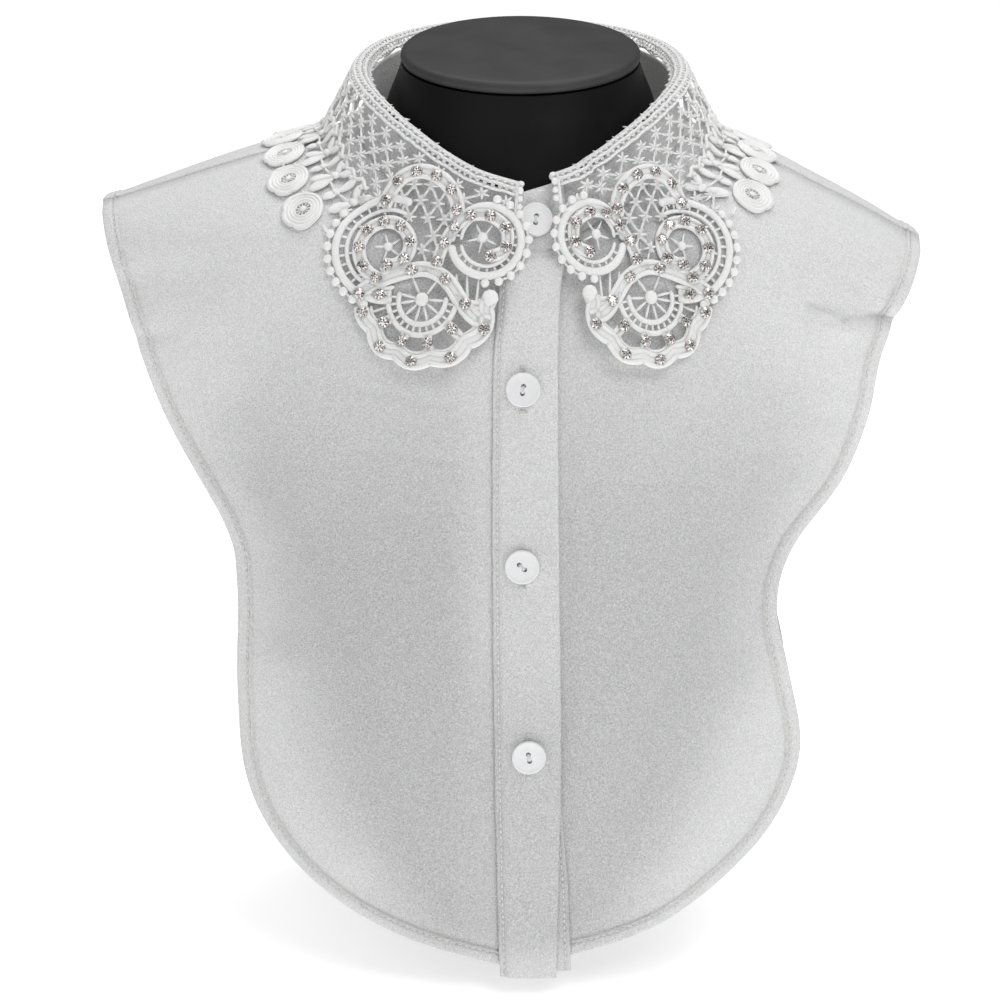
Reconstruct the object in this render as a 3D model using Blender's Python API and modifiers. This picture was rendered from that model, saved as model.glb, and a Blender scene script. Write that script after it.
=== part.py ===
"""A white detachable blouse collar (a dickey) with a guipure lace collar, worn by a limbless bust form.

Frame: +Z up, the front of the garment faces -Y, +X is the viewer's right, and the origin is the centre of
the bust form's flat foot. Sizes and tables are in millimetres, and each mesh is scaled to metres.
"""

import math

import bmesh
import bpy
import numpy as np
from mathutils import Matrix, Vector

MM = 0.001
SEAM_GAP = 0.3

# Cloth walls. A hem is folded cloth, so its outer points stand proud of the panel.
WALL = 1.2
HEM_WALL = 1.9
HEM_WIDTH = 5.6
HEM_STEP = 0.8
SHOULDER_SEAM_NECK = 14.0
SHOULDER_SEAM_TIP = 4.0

# The worn cloth between neck and hem: how far it stands in front of and behind the neck's axis at the
# middle, and the spread, the distance from the middle at which it has fallen back by SIDE_FALL.
BODY = (
    ("height", "front", "back", "spread"),
    (0, -97.0, 72.0, 118),
    (60, -97.0, 74.0, 115),
    (100, -96.0, 76.0, 110),
    (150, -92.5, 79.0, 106),
    (190, -88.5, 80.5, 117),
    (230, -82.0, 79.5, 132),
    (270, -69.0, 74.5, 147),
    (300, -56.5, 67.5, 150),
    (330, -47.0, 60.0, 152),
)
SIDE_FALL = 47.0
BACK_FALL = 40.0

# The top of the shoulders: the ridge's height at each reach from the middle, on the two sides.
RIDGE = (
    ("reach", "left", "right"),
    (0, 309.0, 309.0),
    (61, 308.0, 308.0),
    (90, 302.5, 299.5),
    (110, 296.5, 289.5),
    (133, 288.5, 277.0),
    (160, 279.0, 260.0),
)
RIDGE_DEPTH = 4.0
ROUND_AT_NECK = (61, 34.0)
ROUND_AT_TIP = (158, 13.0)

# The panels' outer edge on each side, from the shoulder tip down the armhole and round the hem.
OUTLINE_LEFT = (
    ("reach", "height"),
    (157.5, 279.2),
    (148.5, 250.0),
    (133.0, 207.0),
    (110.5, 167.0),
    (106.0, 145.0),
    (106.0, 105.0),
    (103.0, 73.0),
    (91.0, 50.0),
    (70.0, 32.0),
    (42.0, 19.5),
    (0.0, 9.5),
)
OUTLINE_RIGHT = (
    ("reach", "height"),
    (150.5, 264.8),
    (146.5, 256.5),
    (134.5, 231.0),
    (129.5, 206.0),
    (120.0, 183.0),
    (101.5, 160.0),
    (95.5, 139.0),
    (100.0, 114.0),
    (105.0, 88.0),
    (102.0, 70.0),
    (90.0, 51.0),
    (66.0, 32.0),
    (42.0, 20.5),
    (0.0, 11.0),
)
CENTRE_FOOT = 30.0
NECK_EDGE_COUNT = 24
CENTRE_EDGE_COUNT = 24
FRONT_NECK_ENDS_AT = 2.0

# Soft folds of the fronts and the back: a line from one end to the other, half its width, and its
# height, which is negative for a trough.
FRONT_FOLDS = (
    ("x0", "z0", "x1", "z1", "width", "rise"),
    (104, 262, 131, 238, 7.0, -5.0),
    (112, 227, 134, 219, 5.0, -4.5),
    (118, 245, 140, 247, 8.0, 2.5),
    (-118, 262, -150, 254, 9.0, -2.5),
    (-104, 214, -92, 132, 11.0, -2.6),
    (-84, 120, -62, 52, 10.0, 2.2),
    (96, 196, 84, 128, 10.0, -2.2),
    (78, 104, 52, 48, 11.0, 2.0),
)
BACK_FOLDS = (
    ("x0", "z0", "x1", "z1", "width", "rise"),
    (-96, 250, -118, 214, 9.0, -3.5),
    (100, 240, 120, 210, 9.0, -4.0),
    (-40, 190, -58, 70, 12.0, 2.4),
    (44, 176, 66, 80, 12.0, 2.6),
    (2, 210, -6, 90, 10.0, -1.8),
)

# The two button strips. The upper one belongs to the left front and laps over the lower one.
STRIPS = (
    ("height", "upper_left", "upper_right", "lower_left", "lower_right"),
    (8, -7.6, 12.9, -2.2, 18.4),
    (40, -8.6, 13.6, -2.8, 17.4),
    (95, -9.6, 14.4, -3.6, 13.2),
    (150, -10.2, 13.7, -4.2, 12.0),
    (190, -10.4, 13.3, -4.4, 11.6),
    (235, -10.0, 13.0, -4.0, 11.4),
    (262, -8.2, 14.0, -2.6, 12.0),
    (276, -7.4, 16.2, -1.8, 13.4),
)
STRIP_TOP = 274.6
UPPER_STRIP_FOOT = 7.6
LOWER_STRIP_FOOT = 9.6
STRIP_LAP = 4.0
STRIP_LIFT = 1.5
UPPER_LIFT = 3.1
UPPER_BEND = 4.2
UPPER_BEND_FROM = 0.3
STRIP_MIDDLE = 0.6
OVER_HEM_LIFT = 0.9
OVER_HEM_UNTIL = (15.0, 26.0)

# The neck ring at the foot and at the top of the collar stand: half width, and reach to front and back.
RING_FOOT = (60.5, 66.0, 64.0)
RING_TOP = (57.0, 57.0, 62.5)
STAND_TOP = (
    ("turn", "height"),
    (0, 296.5),
    (20, 302.5),
    (45, 314.5),
    (65, 322.5),
    (90, 328.0),
    (135, 333.0),
    (180, 335.0),
)
STAND_WALL = 1.4
STAND_LAP_LIFT = 1.8
STAND_LAP_RISE = (-23.0, -9.7)
STAND_LAP_COLUMNS = 4
STAND_OVER_END = 16.0
STAND_UNDER_END = -9.0

# Buttons: one on the stand and three on the strip.
BUTTON_RADIUS = 6.3
BUTTON_THICK = 2.2
BUTTON_HOLE_RADIUS = 0.75
BUTTON_HOLE_APART = 2.7
BUTTON_TOP_SEAT = 0.75
BUTTON_SIDES = 18
BUTTON_HOLE_SIDES = 8
BUTTON_PROFILE = (
    ("reach", "rise"),
    (0.0, 0.72),
    (0.62, 0.72),
    (0.74, 1.0),
    (0.9, 0.94),
    (1.0, 0.55),
    (0.9, 0.0),
    (0.0, 0.0),
)
BUTTONS = (
    ("name", "x", "height", "hole_turn"),
    ("button_top", 5.2, 287.5, 80.0),
    ("button_1", 0.6, 229.1, 82.0),
    ("button_2", 0.3, 165.5, 137.0),
    ("button_3", 2.8, 94.3, 100.0),
)

# The lace collar, drawn flat in two coordinates: along, the distance round the fold from the front end,
# and down, the distance from the fold.
LACE_WALL = 1.2
LACE_CLEAR = 0.75
OVER_STRIPS_LEFT = (-17.0, -10.5)
OVER_STRIPS_RIGHT = (14.5, 21.0)
OVER_STRIPS_CLEAR = 0.4
LIES_ON_CLOTH_FROM = (10.0, 17.0)
LACE_BEND_FROM = -14.0
LACE_BEND_STEP = 9.5
LACE_BEND_ROWS = (2.1, 4.2, 6.3, 8.4, 10.6, 20.0, 29.0, 38.0, 48.0, 58.0, 69.0)
ROLL_FRONT = 2.6
FOLD_LIFT = 1.1
ROLL_BACK = 3.2
FALL = (
    ("turn", "slant"),
    (0, 22.0),
    (45, 25.0),
    (90, 28.0),
    (135, 26.0),
    (180, 22.0),
)
TAB_DEPTH_FIRST = 56.0
TAB_DEPTH_BACK = 49.0
TAB_DEPTH_RUN = 28.0
TAB_RADIUS = 8.0
TAB_PITCH = 17.2
TAB_ARC = (190, -10, 7)
TAB_GAPS = (
    ("place", "radii"),
    ((0.0, -7.5), (2.8, 3.0)),
    ((8.2, -14.5), (3.4, 2.4)),
)
CENTRE_BACK_GAP = 0.7
CENTRE_BACK_ROWS = (12, 24, 36)
FOLD_COUNT = 22

# Where each half's front end, motif and first rosette tab lie.
HALVES = (
    ("front_end", "motif_along", "motif_down", "first_tab", "motif_width"),
    (1.5, 15.5, 55.8, 53.0, 1.0),
    (13.0, 20.5, 60.0, 61.0, 0.92),
)

# The front motif of each half, round the centre of its fan. It has an outer and an inner lobe.
OUTER_LOBE = (-17.0, -17.0)
OUTER_LOBE_EDGE = 23.5
OUTER_LOBE_ARC = (215, 110, 12)
INNER_LOBE = (20.5, -24.0)
INNER_LOBE_EDGE = 15.0
INNER_LOBE_ARC = (66, -80, 13)
FAN_EDGE = 24.0
FAN_FRONT_REACH = 3.0
FAN_SCALLOP_RISE = 2.2
FAN_PITCH = 36
FAN_STEP = 9
FAN_FROM = -18
FAN_TO = 162
FAN_WINDOWS = 5
FAN_FIRST_WINDOW = 18
FAN_SPOKES = 4
FAN_WINDOW = (17.0, 22.6, 12)
FAN_SPOKE_GAP = (4.6, 9.8, 13)
MOTIF_GAPS = (
    ("centre", "radii", "turn"),
    ((13.0, -20.0), (2.6, 3.4), 0),
    ((20.0, -31.5), (3.4, 2.4), 0),
    ((24.5, -17.5), (3.2, 2.4), -40),
    ((-24.0, -26.0), (2.6, 3.6), 20),
    ((-12.0, -22.0), (3.0, 2.4), 0),
    ((-22.0, -8.5), (2.4, 3.6), -35),
    ((-31.5, -13.0), (2.2, 3.6), -10),
)

# The bust form, section by section: half width, and reach to front and back of the neck's axis.
FORM = (
    ("height", "half_width", "front", "back"),
    (0, 42.0, 40.0, 36.0),
    (5, 46.0, 45.0, 40.0),
    (28, 53.0, 63.0, 48.0),
    (58, 63.0, 81.0, 58.0),
    (95, 75.0, 94.0, 67.0),
    (130, 84.0, 95.0, 73.0),
    (165, 90.0, 93.0, 77.0),
    (200, 97.0, 89.0, 80.0),
    (235, 105.0, 83.0, 80.0),
    (256, 108.5, 77.0, 77.0),
    (270, 108.0, 71.0, 75.0),
    (281, 105.0, 67.0, 73.0),
    (290, 99.0, 63.0, 71.0),
    (297, 91.0, 60.0, 69.0),
    (302, 80.0, 57.0, 66.0),
    (306, 66.0, 54.0, 62.0),
)
NECK = (
    ("height", "half_width", "front", "back"),
    (270, 56.0, 59.0, 59.0),
    (290, 55.4, 55.4, 59.0),
    (306, 53.6, 51.8, 57.5),
    (314, 51.8, 50.2, 55.4),
    (322, 49.4, 48.6, 52.3),
    (329, 46.5, 46.8, 48.8),
    (334.6, 44.6, 45.5, 46.5),
)
BODY_LEVELS = (0, 5, 16, 30, 52, 76, 102, 132, 164, 198, 228, 250)
SHOULDER_LEVELS = (266, 278, 287, 294, 299, 303, 306.4)
NECK_LEVELS = (310, 316, 322, 328, 334.6)
FORM_CLEAR = 1.5
FORM_CLEAR_TOP = 3.0
NECK_TILT = 6.0
NECK_TILT_FROM = 300.0
CAP_HALF_WIDTH = 45.0
CAP_HALF_DEPTH = 46.2
CAP_THICK = 5.6
CAP_DOME = 1.0
CAP_EDGE = 2.6
CAP_EDGE_ARC = (90, 60, 30, 0, -40)
CAP_SIDES = 36
CAP_UNDERCUT = 1.2

WHITE = (0.86, 0.86, 0.85)
LACE_WHITE = (0.88, 0.88, 0.86)
BUTTON_WHITE = (0.9, 0.9, 0.89)
FORM_BLACK = (0.018, 0.018, 0.018)


def rows(table):
    """A table's rows without its header, as an array."""
    return np.array(table[1:], float)


def read(table, name, at):
    """A named column of a table, read smoothly at each value of the table's first column."""
    values = rows(table)
    return smooth(at, values[:, 0], values[:, table[0].index(name)])


def smooth(at, keys, values):
    """A smooth curve through the pairs of keys and values that doesn't overshoot, read at each of at."""
    keys, values = np.asarray(keys, float), np.asarray(values, float)
    at = np.clip(np.asarray(at, float), keys[0], keys[-1])
    step = np.diff(keys)
    slope = np.diff(values) / step
    tangent = np.concatenate([slope[:1], np.zeros(len(slope) - 1), slope[-1:]])
    before, after = slope[:-1], slope[1:]
    same = before * after > 0
    total = np.where(same, before + after, 1.0)
    tangent[1:-1] = np.where(same, 2 * before * after / total, 0.0)
    cell = np.clip(np.searchsorted(keys, at) - 1, 0, len(step) - 1)
    t = (at - keys[cell]) / step[cell]
    curve = (1 + 2 * t) * (1 - t) ** 2 * values[cell] + t * t * (3 - 2 * t) * values[cell + 1]
    bend = t * (1 - t) ** 2 * tangent[cell] - t * t * (1 - t) * tangent[cell + 1]
    return curve + step[cell] * bend


def ease(value, low, high):
    """0 below low, 1 above high, and a smooth step between."""
    t = np.clip((np.asarray(value, float) - low) / (high - low), 0, 1)
    return t * t * (3 - 2 * t)


def folds(table, x, z):
    """How far the soft folds in a table move the cloth outward at each x and z."""
    total = np.zeros(np.broadcast(x, z).shape)
    for x0, z0, x1, z1, width, rise in table[1:]:
        run = np.array([x1 - x0, z1 - z0], float)
        share = ((x - x0) * run[0] + (z - z0) * run[1]) / (run @ run)
        near = np.clip(share, 0, 1)
        away = np.hypot(x - x0 - near * run[0], z - z0 - near * run[1])
        total += rise * np.exp(-((away / width) ** 2))
    return total


def ridge_height(x):
    reach = np.abs(x)
    return np.where(np.asarray(x) < 0, read(RIDGE, "left", reach), read(RIDGE, "right", reach))


def ridge_round(x):
    """How far below the ridge the cloth has turned down into the front or back."""
    return np.interp(np.abs(x), (ROUND_AT_NECK[0], ROUND_AT_TIP[0]), (ROUND_AT_NECK[1], ROUND_AT_TIP[1]))


def flat_front(x, z):
    """The front's depth before the shoulder rounds it over."""
    fall = SIDE_FALL * (np.abs(x) / read(BODY, "spread", z)) ** 2
    return read(BODY, "front", z) + fall - folds(FRONT_FOLDS, x, z)


def flat_back(x, z):
    fall = BACK_FALL * (np.abs(x) / read(BODY, "spread", z)) ** 2
    return read(BODY, "back", z) - fall + folds(BACK_FOLDS, x, z)


def front_point(x, z):
    """The front's inner surface at each x and height."""
    x, z = np.broadcast_arrays(np.asarray(x, float), np.asarray(z, float))
    turned = np.clip((ridge_height(x) - z) / ridge_round(x), 0, 1)
    share = np.sqrt(1 - (1 - turned) ** 2)
    return np.stack([x, RIDGE_DEPTH + (flat_front(x, z) - RIDGE_DEPTH) * share, z], -1)


def quarter_length(x, behind):
    """The length of cloth that turns over the shoulder, from the ridge to where it hangs."""
    low = ridge_height(x) - ridge_round(x)
    reach = np.where(behind, flat_back(x, low) - RIDGE_DEPTH, RIDGE_DEPTH - flat_front(x, low))
    return math.pi / 2 * np.sqrt((reach**2 + ridge_round(x) ** 2) / 2)


def over_point(x, w):
    """The cloth at distance w from the shoulder's ridge, measured along it: behind it if w is positive."""
    x, w = np.broadcast_arrays(np.asarray(x, float), np.asarray(w, float))
    behind = w > 0
    quarter = quarter_length(x, behind)
    turn = np.clip(np.abs(w) / quarter, 0, 1) * math.pi / 2
    drop = ridge_round(x) * (1 - np.cos(turn)) + np.maximum(np.abs(w) - quarter, 0)
    z = ridge_height(x) - drop
    reach = np.where(behind, flat_back(x, z) - RIDGE_DEPTH, flat_front(x, z) - RIDGE_DEPTH)
    return np.stack([x, RIDGE_DEPTH + reach * np.sin(turn), z], -1)


def behind_at(x, z):
    """The distance w behind the ridge at which the cloth has come down to height z."""
    drop = ridge_height(x) - z
    turned = ridge_round(x)
    quarter = quarter_length(x, np.full(np.shape(x), True))
    turn = np.arccos(np.clip(1 - drop / turned, -1, 1))
    return np.where(drop < turned, turn / (math.pi / 2) * quarter, quarter + drop - turned)


def seam_reach(x):
    """How far in front of the ridge the shoulder seam runs."""
    return np.interp(np.abs(x), (ROUND_AT_NECK[0], 150), (SHOULDER_SEAM_NECK, SHOULDER_SEAM_TIP))


def ring(turn, sizes):
    """A point of a neck ring in plan. Turn is in degrees from the front, positive to the right."""
    angle = np.radians(turn)
    half_width, front, back = sizes
    reach = np.where(np.cos(angle) > 0, front, back)
    return half_width * np.sin(angle), -reach * np.cos(angle)


def seat_on_body(x, y):
    """The distance w from the ridge at which the cloth at x has depth y, by halving."""
    low, high = np.full(np.shape(x), -160.0), np.full(np.shape(x), 160.0)
    for _ in range(40):
        middle = (low + high) / 2
        ahead = over_point(x, middle)[..., 1] < y
        low, high = np.where(ahead, middle, low), np.where(ahead, high, middle)
    return (low + high) / 2


def neckline(turns):
    """The neck edge of the cloth at each turn: x, the distance w from the ridge, and the points."""
    x, y = ring(turns, RING_FOOT)
    w = seat_on_body(x, y)
    return x, w, over_point(x, w)


def through(points, count):
    """A smooth curve through the points, read at count places evenly spaced along it."""
    points = np.asarray(points, float)
    ends = np.concatenate([[2 * points[0] - points[1]], points, [2 * points[-1] - points[-2]]])
    t = np.linspace(0, 1, 13)[:-1, None]
    dense = []
    for a, b, c, d in zip(ends, ends[1:], ends[2:], ends[3:]):
        curve = (2 * a - 5 * b + 4 * c - d) * t**2 + (3 * b - a - 3 * c + d) * t**3
        dense.append(0.5 * (2 * b + (c - a) * t + curve))
    return evenly(np.concatenate(dense + [points[-1:]]), count)


def evenly(points, count):
    """Count points evenly spaced along a polyline."""
    length = np.concatenate([[0], np.cumsum(np.linalg.norm(np.diff(points, axis=0), axis=1))])
    at = np.linspace(0, length[-1], count)
    return np.stack([np.interp(at, length, points[:, k]) for k in range(points.shape[1])], -1)


def unit(v):
    return v / np.maximum(np.linalg.norm(v, axis=-1, keepdims=True), 1e-9)


# Meshes

def material(name, colour, roughness):
    made = bpy.data.materials.new(name)
    made.use_nodes = True
    shader = made.node_tree.nodes["Principled BSDF"]
    shader.inputs["Base Color"].default_value = (*colour, 1)
    shader.inputs["Roughness"].default_value = roughness
    return made


def add_object(name, mesh, collection, finish):
    obj = bpy.data.objects.new(name, mesh)
    collection.objects.link(obj)
    mesh.materials.append(finish)
    mesh.shade_smooth()
    mesh.set_sharp_from_angle(angle=math.radians(40))
    return obj


def grid_mesh(name, grids, facing):
    """One mesh from grids of points whose shared edges are welded. Facing is roughly the outward way."""
    bm = bmesh.new()
    levels = {}
    for points, _ in grids:
        rows = [[bm.verts.new(Vector(p) * MM) for p in row] for row in points]
        for upper, lower in zip(rows, rows[1:]):
            for a, b, c, d in zip(upper, upper[1:], lower[1:], lower):
                bm.faces.new((a, b, c, d))
    bmesh.ops.remove_doubles(bm, verts=bm.verts, dist=0.02 * MM)
    bmesh.ops.recalc_face_normals(bm, faces=bm.faces)
    bm.normal_update()
    turned = sum(facing(face.calc_center_median() / MM).dot(face.normal) for face in bm.faces)
    if turned < 0:
        bmesh.ops.reverse_faces(bm, faces=bm.faces)
    for points, lift in grids:
        for point, share in zip(points.reshape(-1, 3), lift.reshape(-1)):
            levels[tuple(np.round(point, 1))] = float(share)
    mesh = bpy.data.meshes.new(name)
    bm.to_mesh(mesh)
    bm.free()
    return mesh, levels


def cloth_wall(name, grids, facing, collection, finish, thin=WALL, thick=HEM_WALL):
    """A cloth piece: an open surface of its inner points, thickened outward, and more in its hems."""
    mesh, levels = grid_mesh(name, grids, facing)
    obj = add_object(name, mesh, collection, finish)
    group = obj.vertex_groups.new(name="hem")
    for vertex in mesh.vertices:
        share = levels.get(tuple(np.round(np.array(vertex.co) / MM, 1)), 0.0)
        group.add([vertex.index], share, "REPLACE")
    shell = obj.modifiers.new("wall", "SOLIDIFY")
    shell.thickness = thick * MM
    shell.offset = 1
    shell.vertex_group = group.name
    shell.thickness_vertex_group = thin / thick
    return obj


def to_front(_):
    return Vector((0, -1, 0))


def outward(at):
    return Vector((at.x * 0.3, at.y, 20))


# Panels

def edge_offsets(outer, inside, distances):
    """Rows of points at each distance inside the outer edge, measured square to it."""
    along = unit(np.gradient(outer, axis=0))
    square = np.stack([-along[:, 1], along[:, 0]], -1)
    pointing = np.sign(((inside - outer) * square).sum(-1, keepdims=True))
    return [outer + square * pointing * d for d in distances]


def panel_rows(inner, outer, columns):
    """A grid between two edges: the hem's own columns beside the outer edge, then evenly to the inner."""
    hem = edge_offsets(outer, inner, (0, HEM_WIDTH, HEM_WIDTH + HEM_STEP))
    shares = np.linspace(0, 1, columns)[1:]
    body = [hem[-1] + (inner - hem[-1]) * share for share in shares]
    grid = np.stack(hem + body, 1)
    lift = np.zeros(grid.shape[:2])
    lift[:, :2] = 1
    return grid, lift


def outer_edge(side, count):
    table = OUTLINE_LEFT if side < 0 else OUTLINE_RIGHT
    edge = through(rows(table), count)
    return edge * np.array([side, 1])


def front_panel(side, collection, finish, count=34, columns=9):
    """A front, from its shoulder seam and neckline to its armhole and hem."""
    outer = outer_edge(side, count)
    seam_turn = math.degrees(math.acos(-(RIDGE_DEPTH - SHOULDER_SEAM_NECK) / RING_FOOT[1]))
    neck_turns = side * np.linspace(seam_turn, FRONT_NECK_ENDS_AT, NECK_EDGE_COUNT)
    neck = neckline(neck_turns)[2][:, (0, 2)]
    centre_z = np.linspace(STRIP_TOP, CENTRE_FOOT, CENTRE_EDGE_COUNT)
    if side < 0:
        centre_x = read(STRIPS, "upper_left", centre_z) + STRIP_LAP
        neck = neck[neck[:, 0] < centre_x[0] - 1]
    else:
        centre_x = read(STRIPS, "lower_right", centre_z) - STRIP_LAP
        neck = neck[neck[:, 0] > centre_x[0] + 1]
    inner = evenly(np.concatenate([neck, np.stack([centre_x, centre_z], -1)]), count)
    outer[-1] = (centre_x[-1], outer[-1][1])
    near_foot = outer[:, 0] * side < centre_x[-1] * side
    outer[near_foot, 0] = centre_x[-1]
    top_x = outer[0, 0]
    outer[0, 1] = over_point(top_x, -seam_reach(top_x) * 0.5)[2]
    grid, lift = panel_rows(inner, outer, columns)
    seam_x = grid[0, :, 0]
    grid[0, :, 1] = over_point(seam_x, -seam_reach(seam_x))[:, 2]
    seam = over_point(grid[..., 0], -seam_reach(grid[..., 0]))[..., 2]
    grid[..., 1] = np.minimum(grid[..., 1], seam)
    points = front_point(grid[..., 0], grid[..., 1])
    name = "front_left" if side < 0 else "front_right"
    return cloth_wall(name, [(points, lift)], to_front, collection, finish)


def back_panel(collection, finish, count=30, columns=9):
    """The back, from the shoulder seams over the ridge and down to its hem, in two welded halves."""
    grids = []
    for side in (-1, 1):
        edge = outer_edge(side, 60)
        tip_x = edge[0, 0]
        tip = np.array([[tip_x, -seam_reach(tip_x) + SEAM_GAP * 2]])
        armhole = np.stack([edge[:, 0], behind_at(edge[:, 0], edge[:, 1])], -1)
        outer = evenly(np.concatenate([tip, armhole[1:]]), count)
        outer[-1, 0] = 0
        seam_turn = math.degrees(math.acos(-(RIDGE_DEPTH - SHOULDER_SEAM_NECK) / RING_FOOT[1]))
        x, w, _ = neckline(side * np.linspace(seam_turn, 180, NECK_EDGE_COUNT))
        neck = np.stack([x, w], -1)
        neck[-1, 0] = 0
        foot = behind_at(np.zeros(1), np.array([CENTRE_FOOT]))[0]
        down = np.linspace(neck[-1, 1], foot, CENTRE_EDGE_COUNT)[1:]
        inner = evenly(np.concatenate([neck, np.stack([np.zeros(len(down)), down], -1)]), count)
        on_centre = np.abs(inner[:, 0]) < 0.5
        inner[on_centre, 0] = 0
        grid, lift = panel_rows(inner, outer, columns)
        grid[-1, :, 0] = 0
        grid[0, :, 1] = -seam_reach(grid[0, :, 0]) + SEAM_GAP * 2
        grids.append((over_point(grid[..., 0], grid[..., 1]), lift))
    return cloth_wall("back_panel", grids, outward, collection, finish)


# Button strips

def front_normal(x, z, step=0.5):
    across = front_point(x + step, z) - front_point(x - step, z)
    upward = front_point(x, z + step) - front_point(x, z - step)
    return unit(np.cross(across, upward))


def on_front(x, z, lift):
    """A point that far out from the front's inner surface."""
    return front_point(x, z) + front_normal(x, z) * np.asarray(lift)[..., None]


def strip(which, foot, lift, collection, finish, count=27):
    """The upper or lower button strip, laid on the front's own points."""
    z = np.linspace(STRIP_TOP, foot, count)[:, None]
    x0, x1 = read(STRIPS, which + "_left", z), read(STRIPS, which + "_right", z)
    x = np.concatenate([x0, x0 + UPPER_BEND / 2, x0 + UPPER_BEND, x0 + (x1 - x0) * STRIP_MIDDLE, x1], 1)
    z = np.broadcast_to(z, x.shape)
    over_hem = OVER_HEM_LIFT * (1 - ease(z, *OVER_HEM_UNTIL))
    points = on_front(x, z, lift(x - x0) + over_hem)
    return cloth_wall("strip_" + which, [(points, np.zeros(x.shape))], to_front, collection, finish)


def upper_lift(from_edge):
    return STRIP_LIFT + (UPPER_LIFT - STRIP_LIFT) * ease(from_edge, UPPER_BEND_FROM, UPPER_BEND - UPPER_BEND_FROM)


def lower_lift(from_edge):
    return np.full(from_edge.shape, STRIP_LIFT)


# Collar stand

def stand_frame(turn, up):
    """The stand's inner surface: turn round the neck in degrees, up from its foot at 0 to its top at 1."""
    foot_x, foot_y = ring(turn, RING_FOOT)
    shown = np.abs((turn + 180) % 360 - 180)
    foot_z = over_point(foot_x, seat_on_body(foot_x, foot_y))[..., 2] + WALL + 2 * SEAM_GAP
    top_x, top_y = ring(turn, RING_TOP)
    top_z = read(STAND_TOP, "height", shown)
    foot = np.stack([foot_x, foot_y, foot_z], -1)
    top = np.stack([top_x, top_y, top_z], -1)
    return foot + (top - foot) * up[..., None]


def stand(collection, finish, count=46, levels=4):
    """The band round the neck. Its right end runs under and its left end laps over it at the front."""
    under = math.degrees(math.asin(STAND_UNDER_END / RING_FOOT[0]))
    over = math.degrees(math.asin(STAND_OVER_END / RING_FOOT[0]))
    low, high = (360 + k for k in STAND_LAP_RISE)
    round_back = np.linspace(under, low, count - 2 * STAND_LAP_COLUMNS)
    rise = np.linspace(low, high, STAND_LAP_COLUMNS + 1)[1:]
    lapped = np.linspace(high, over + 360, STAND_LAP_COLUMNS + 1)[1:]
    turn = np.concatenate([round_back, rise, lapped])[:, None]
    up = np.linspace(0, 1, levels)[None, :]
    turn, up = np.broadcast_arrays(turn, up)
    points = stand_frame(turn, up)
    lap = ease(turn - 360, *STAND_LAP_RISE)
    out = unit(points * np.array([1, 1, 0]))
    points = points + out * (STAND_LAP_LIFT * lap - STAND_WALL)[..., None]
    grids = [(points, np.zeros(turn.shape))]
    return cloth_wall("collar_stand", grids, outward_flat, collection, finish, STAND_WALL, STAND_WALL)


def outward_flat(at):
    return Vector((at.x, at.y, 0))


# Buttons

def stand_outer(x, z):
    """The stand's outer surface near the front, where its over end lies, and its outward direction."""
    turn = math.degrees(math.asin(x / RING_FOOT[0]))
    foot, top = (stand_frame(np.array(turn), np.array(float(k))) for k in (0, 1))
    up = (z - foot[2]) / (top[2] - foot[2])
    point = foot + (top - foot) * up
    out = unit(point * np.array([1, 1, 0]))
    across = np.array([-out[1], out[0], 0])
    normal = unit(np.cross(across, top - foot))
    return point + out * STAND_LAP_LIFT, normal


def button(name, at, normal, hole_turn, collection, cutters, finish):
    """A two-hole button: a turned disc with a raised rim, drilled and set on its cloth."""
    profile = rows(BUTTON_PROFILE) * [BUTTON_RADIUS, BUTTON_THICK]
    mesh = bpy.data.meshes.new(name)
    points = [(r * MM, 0, h * MM) for r, h in profile]
    mesh.from_pydata(points, [(k, k + 1) for k in range(len(points) - 1)], [])
    obj = add_object(name, mesh, collection, finish)
    turned = obj.modifiers.new("turned", "SCREW")
    turned.steps = turned.render_steps = BUTTON_SIDES
    turned.use_merge_vertices = True
    turned.merge_threshold = 0.00001
    place = Matrix.Translation(Vector(at) * MM) @ Vector(normal).to_track_quat("Z", "Y").to_matrix().to_4x4()
    obj.matrix_world = place
    for end in (-1, 1):
        drill_mesh = bpy.data.meshes.new(name + "_drill")
        bm = bmesh.new()
        bmesh.ops.create_cone(
            bm,
            cap_ends=True,
            segments=BUTTON_HOLE_SIDES,
            radius1=BUTTON_HOLE_RADIUS * MM,
            radius2=BUTTON_HOLE_RADIUS * MM,
            depth=4 * BUTTON_THICK * MM,
        )
        bm.to_mesh(drill_mesh)
        bm.free()
        drill = bpy.data.objects.new(name + "_drill", drill_mesh)
        cutters.objects.link(drill)
        angle = math.radians(hole_turn)
        offset = Vector((math.cos(angle), math.sin(angle), 0)) * end * BUTTON_HOLE_APART / 2 * MM
        drill.matrix_world = place @ Matrix.Translation(offset)
        drill.hide_render = True
        drill.display_type = "WIRE"
        cut = obj.modifiers.new("hole", "BOOLEAN")
        cut.operation = "DIFFERENCE"
        cut.object = drill
    return obj


# Lace collar

def body_distance(points):
    """A near distance from the cloth's inner surface to each point, and the way out from it."""

    def level(p):
        x, y, z = p[..., 0], p[..., 1], p[..., 2]
        behind = y > RIDGE_DEPTH
        reach = np.where(behind, flat_back(x, z) - RIDGE_DEPTH, RIDGE_DEPTH - flat_front(x, z))
        turned = ridge_round(x)
        above = np.maximum(z - ridge_height(x) + turned, 0) / turned
        return np.sqrt(((y - RIDGE_DEPTH) / np.maximum(reach, 5)) ** 2 + above**2) - 1

    step = 0.4
    here = level(points)
    shifts = np.eye(3) * step
    slope = np.stack([(level(points + k) - level(points - k)) / (2 * step) for k in shifts], -1)
    size = np.linalg.norm(slope, axis=-1)
    return here / size, slope / size[..., None]


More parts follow.
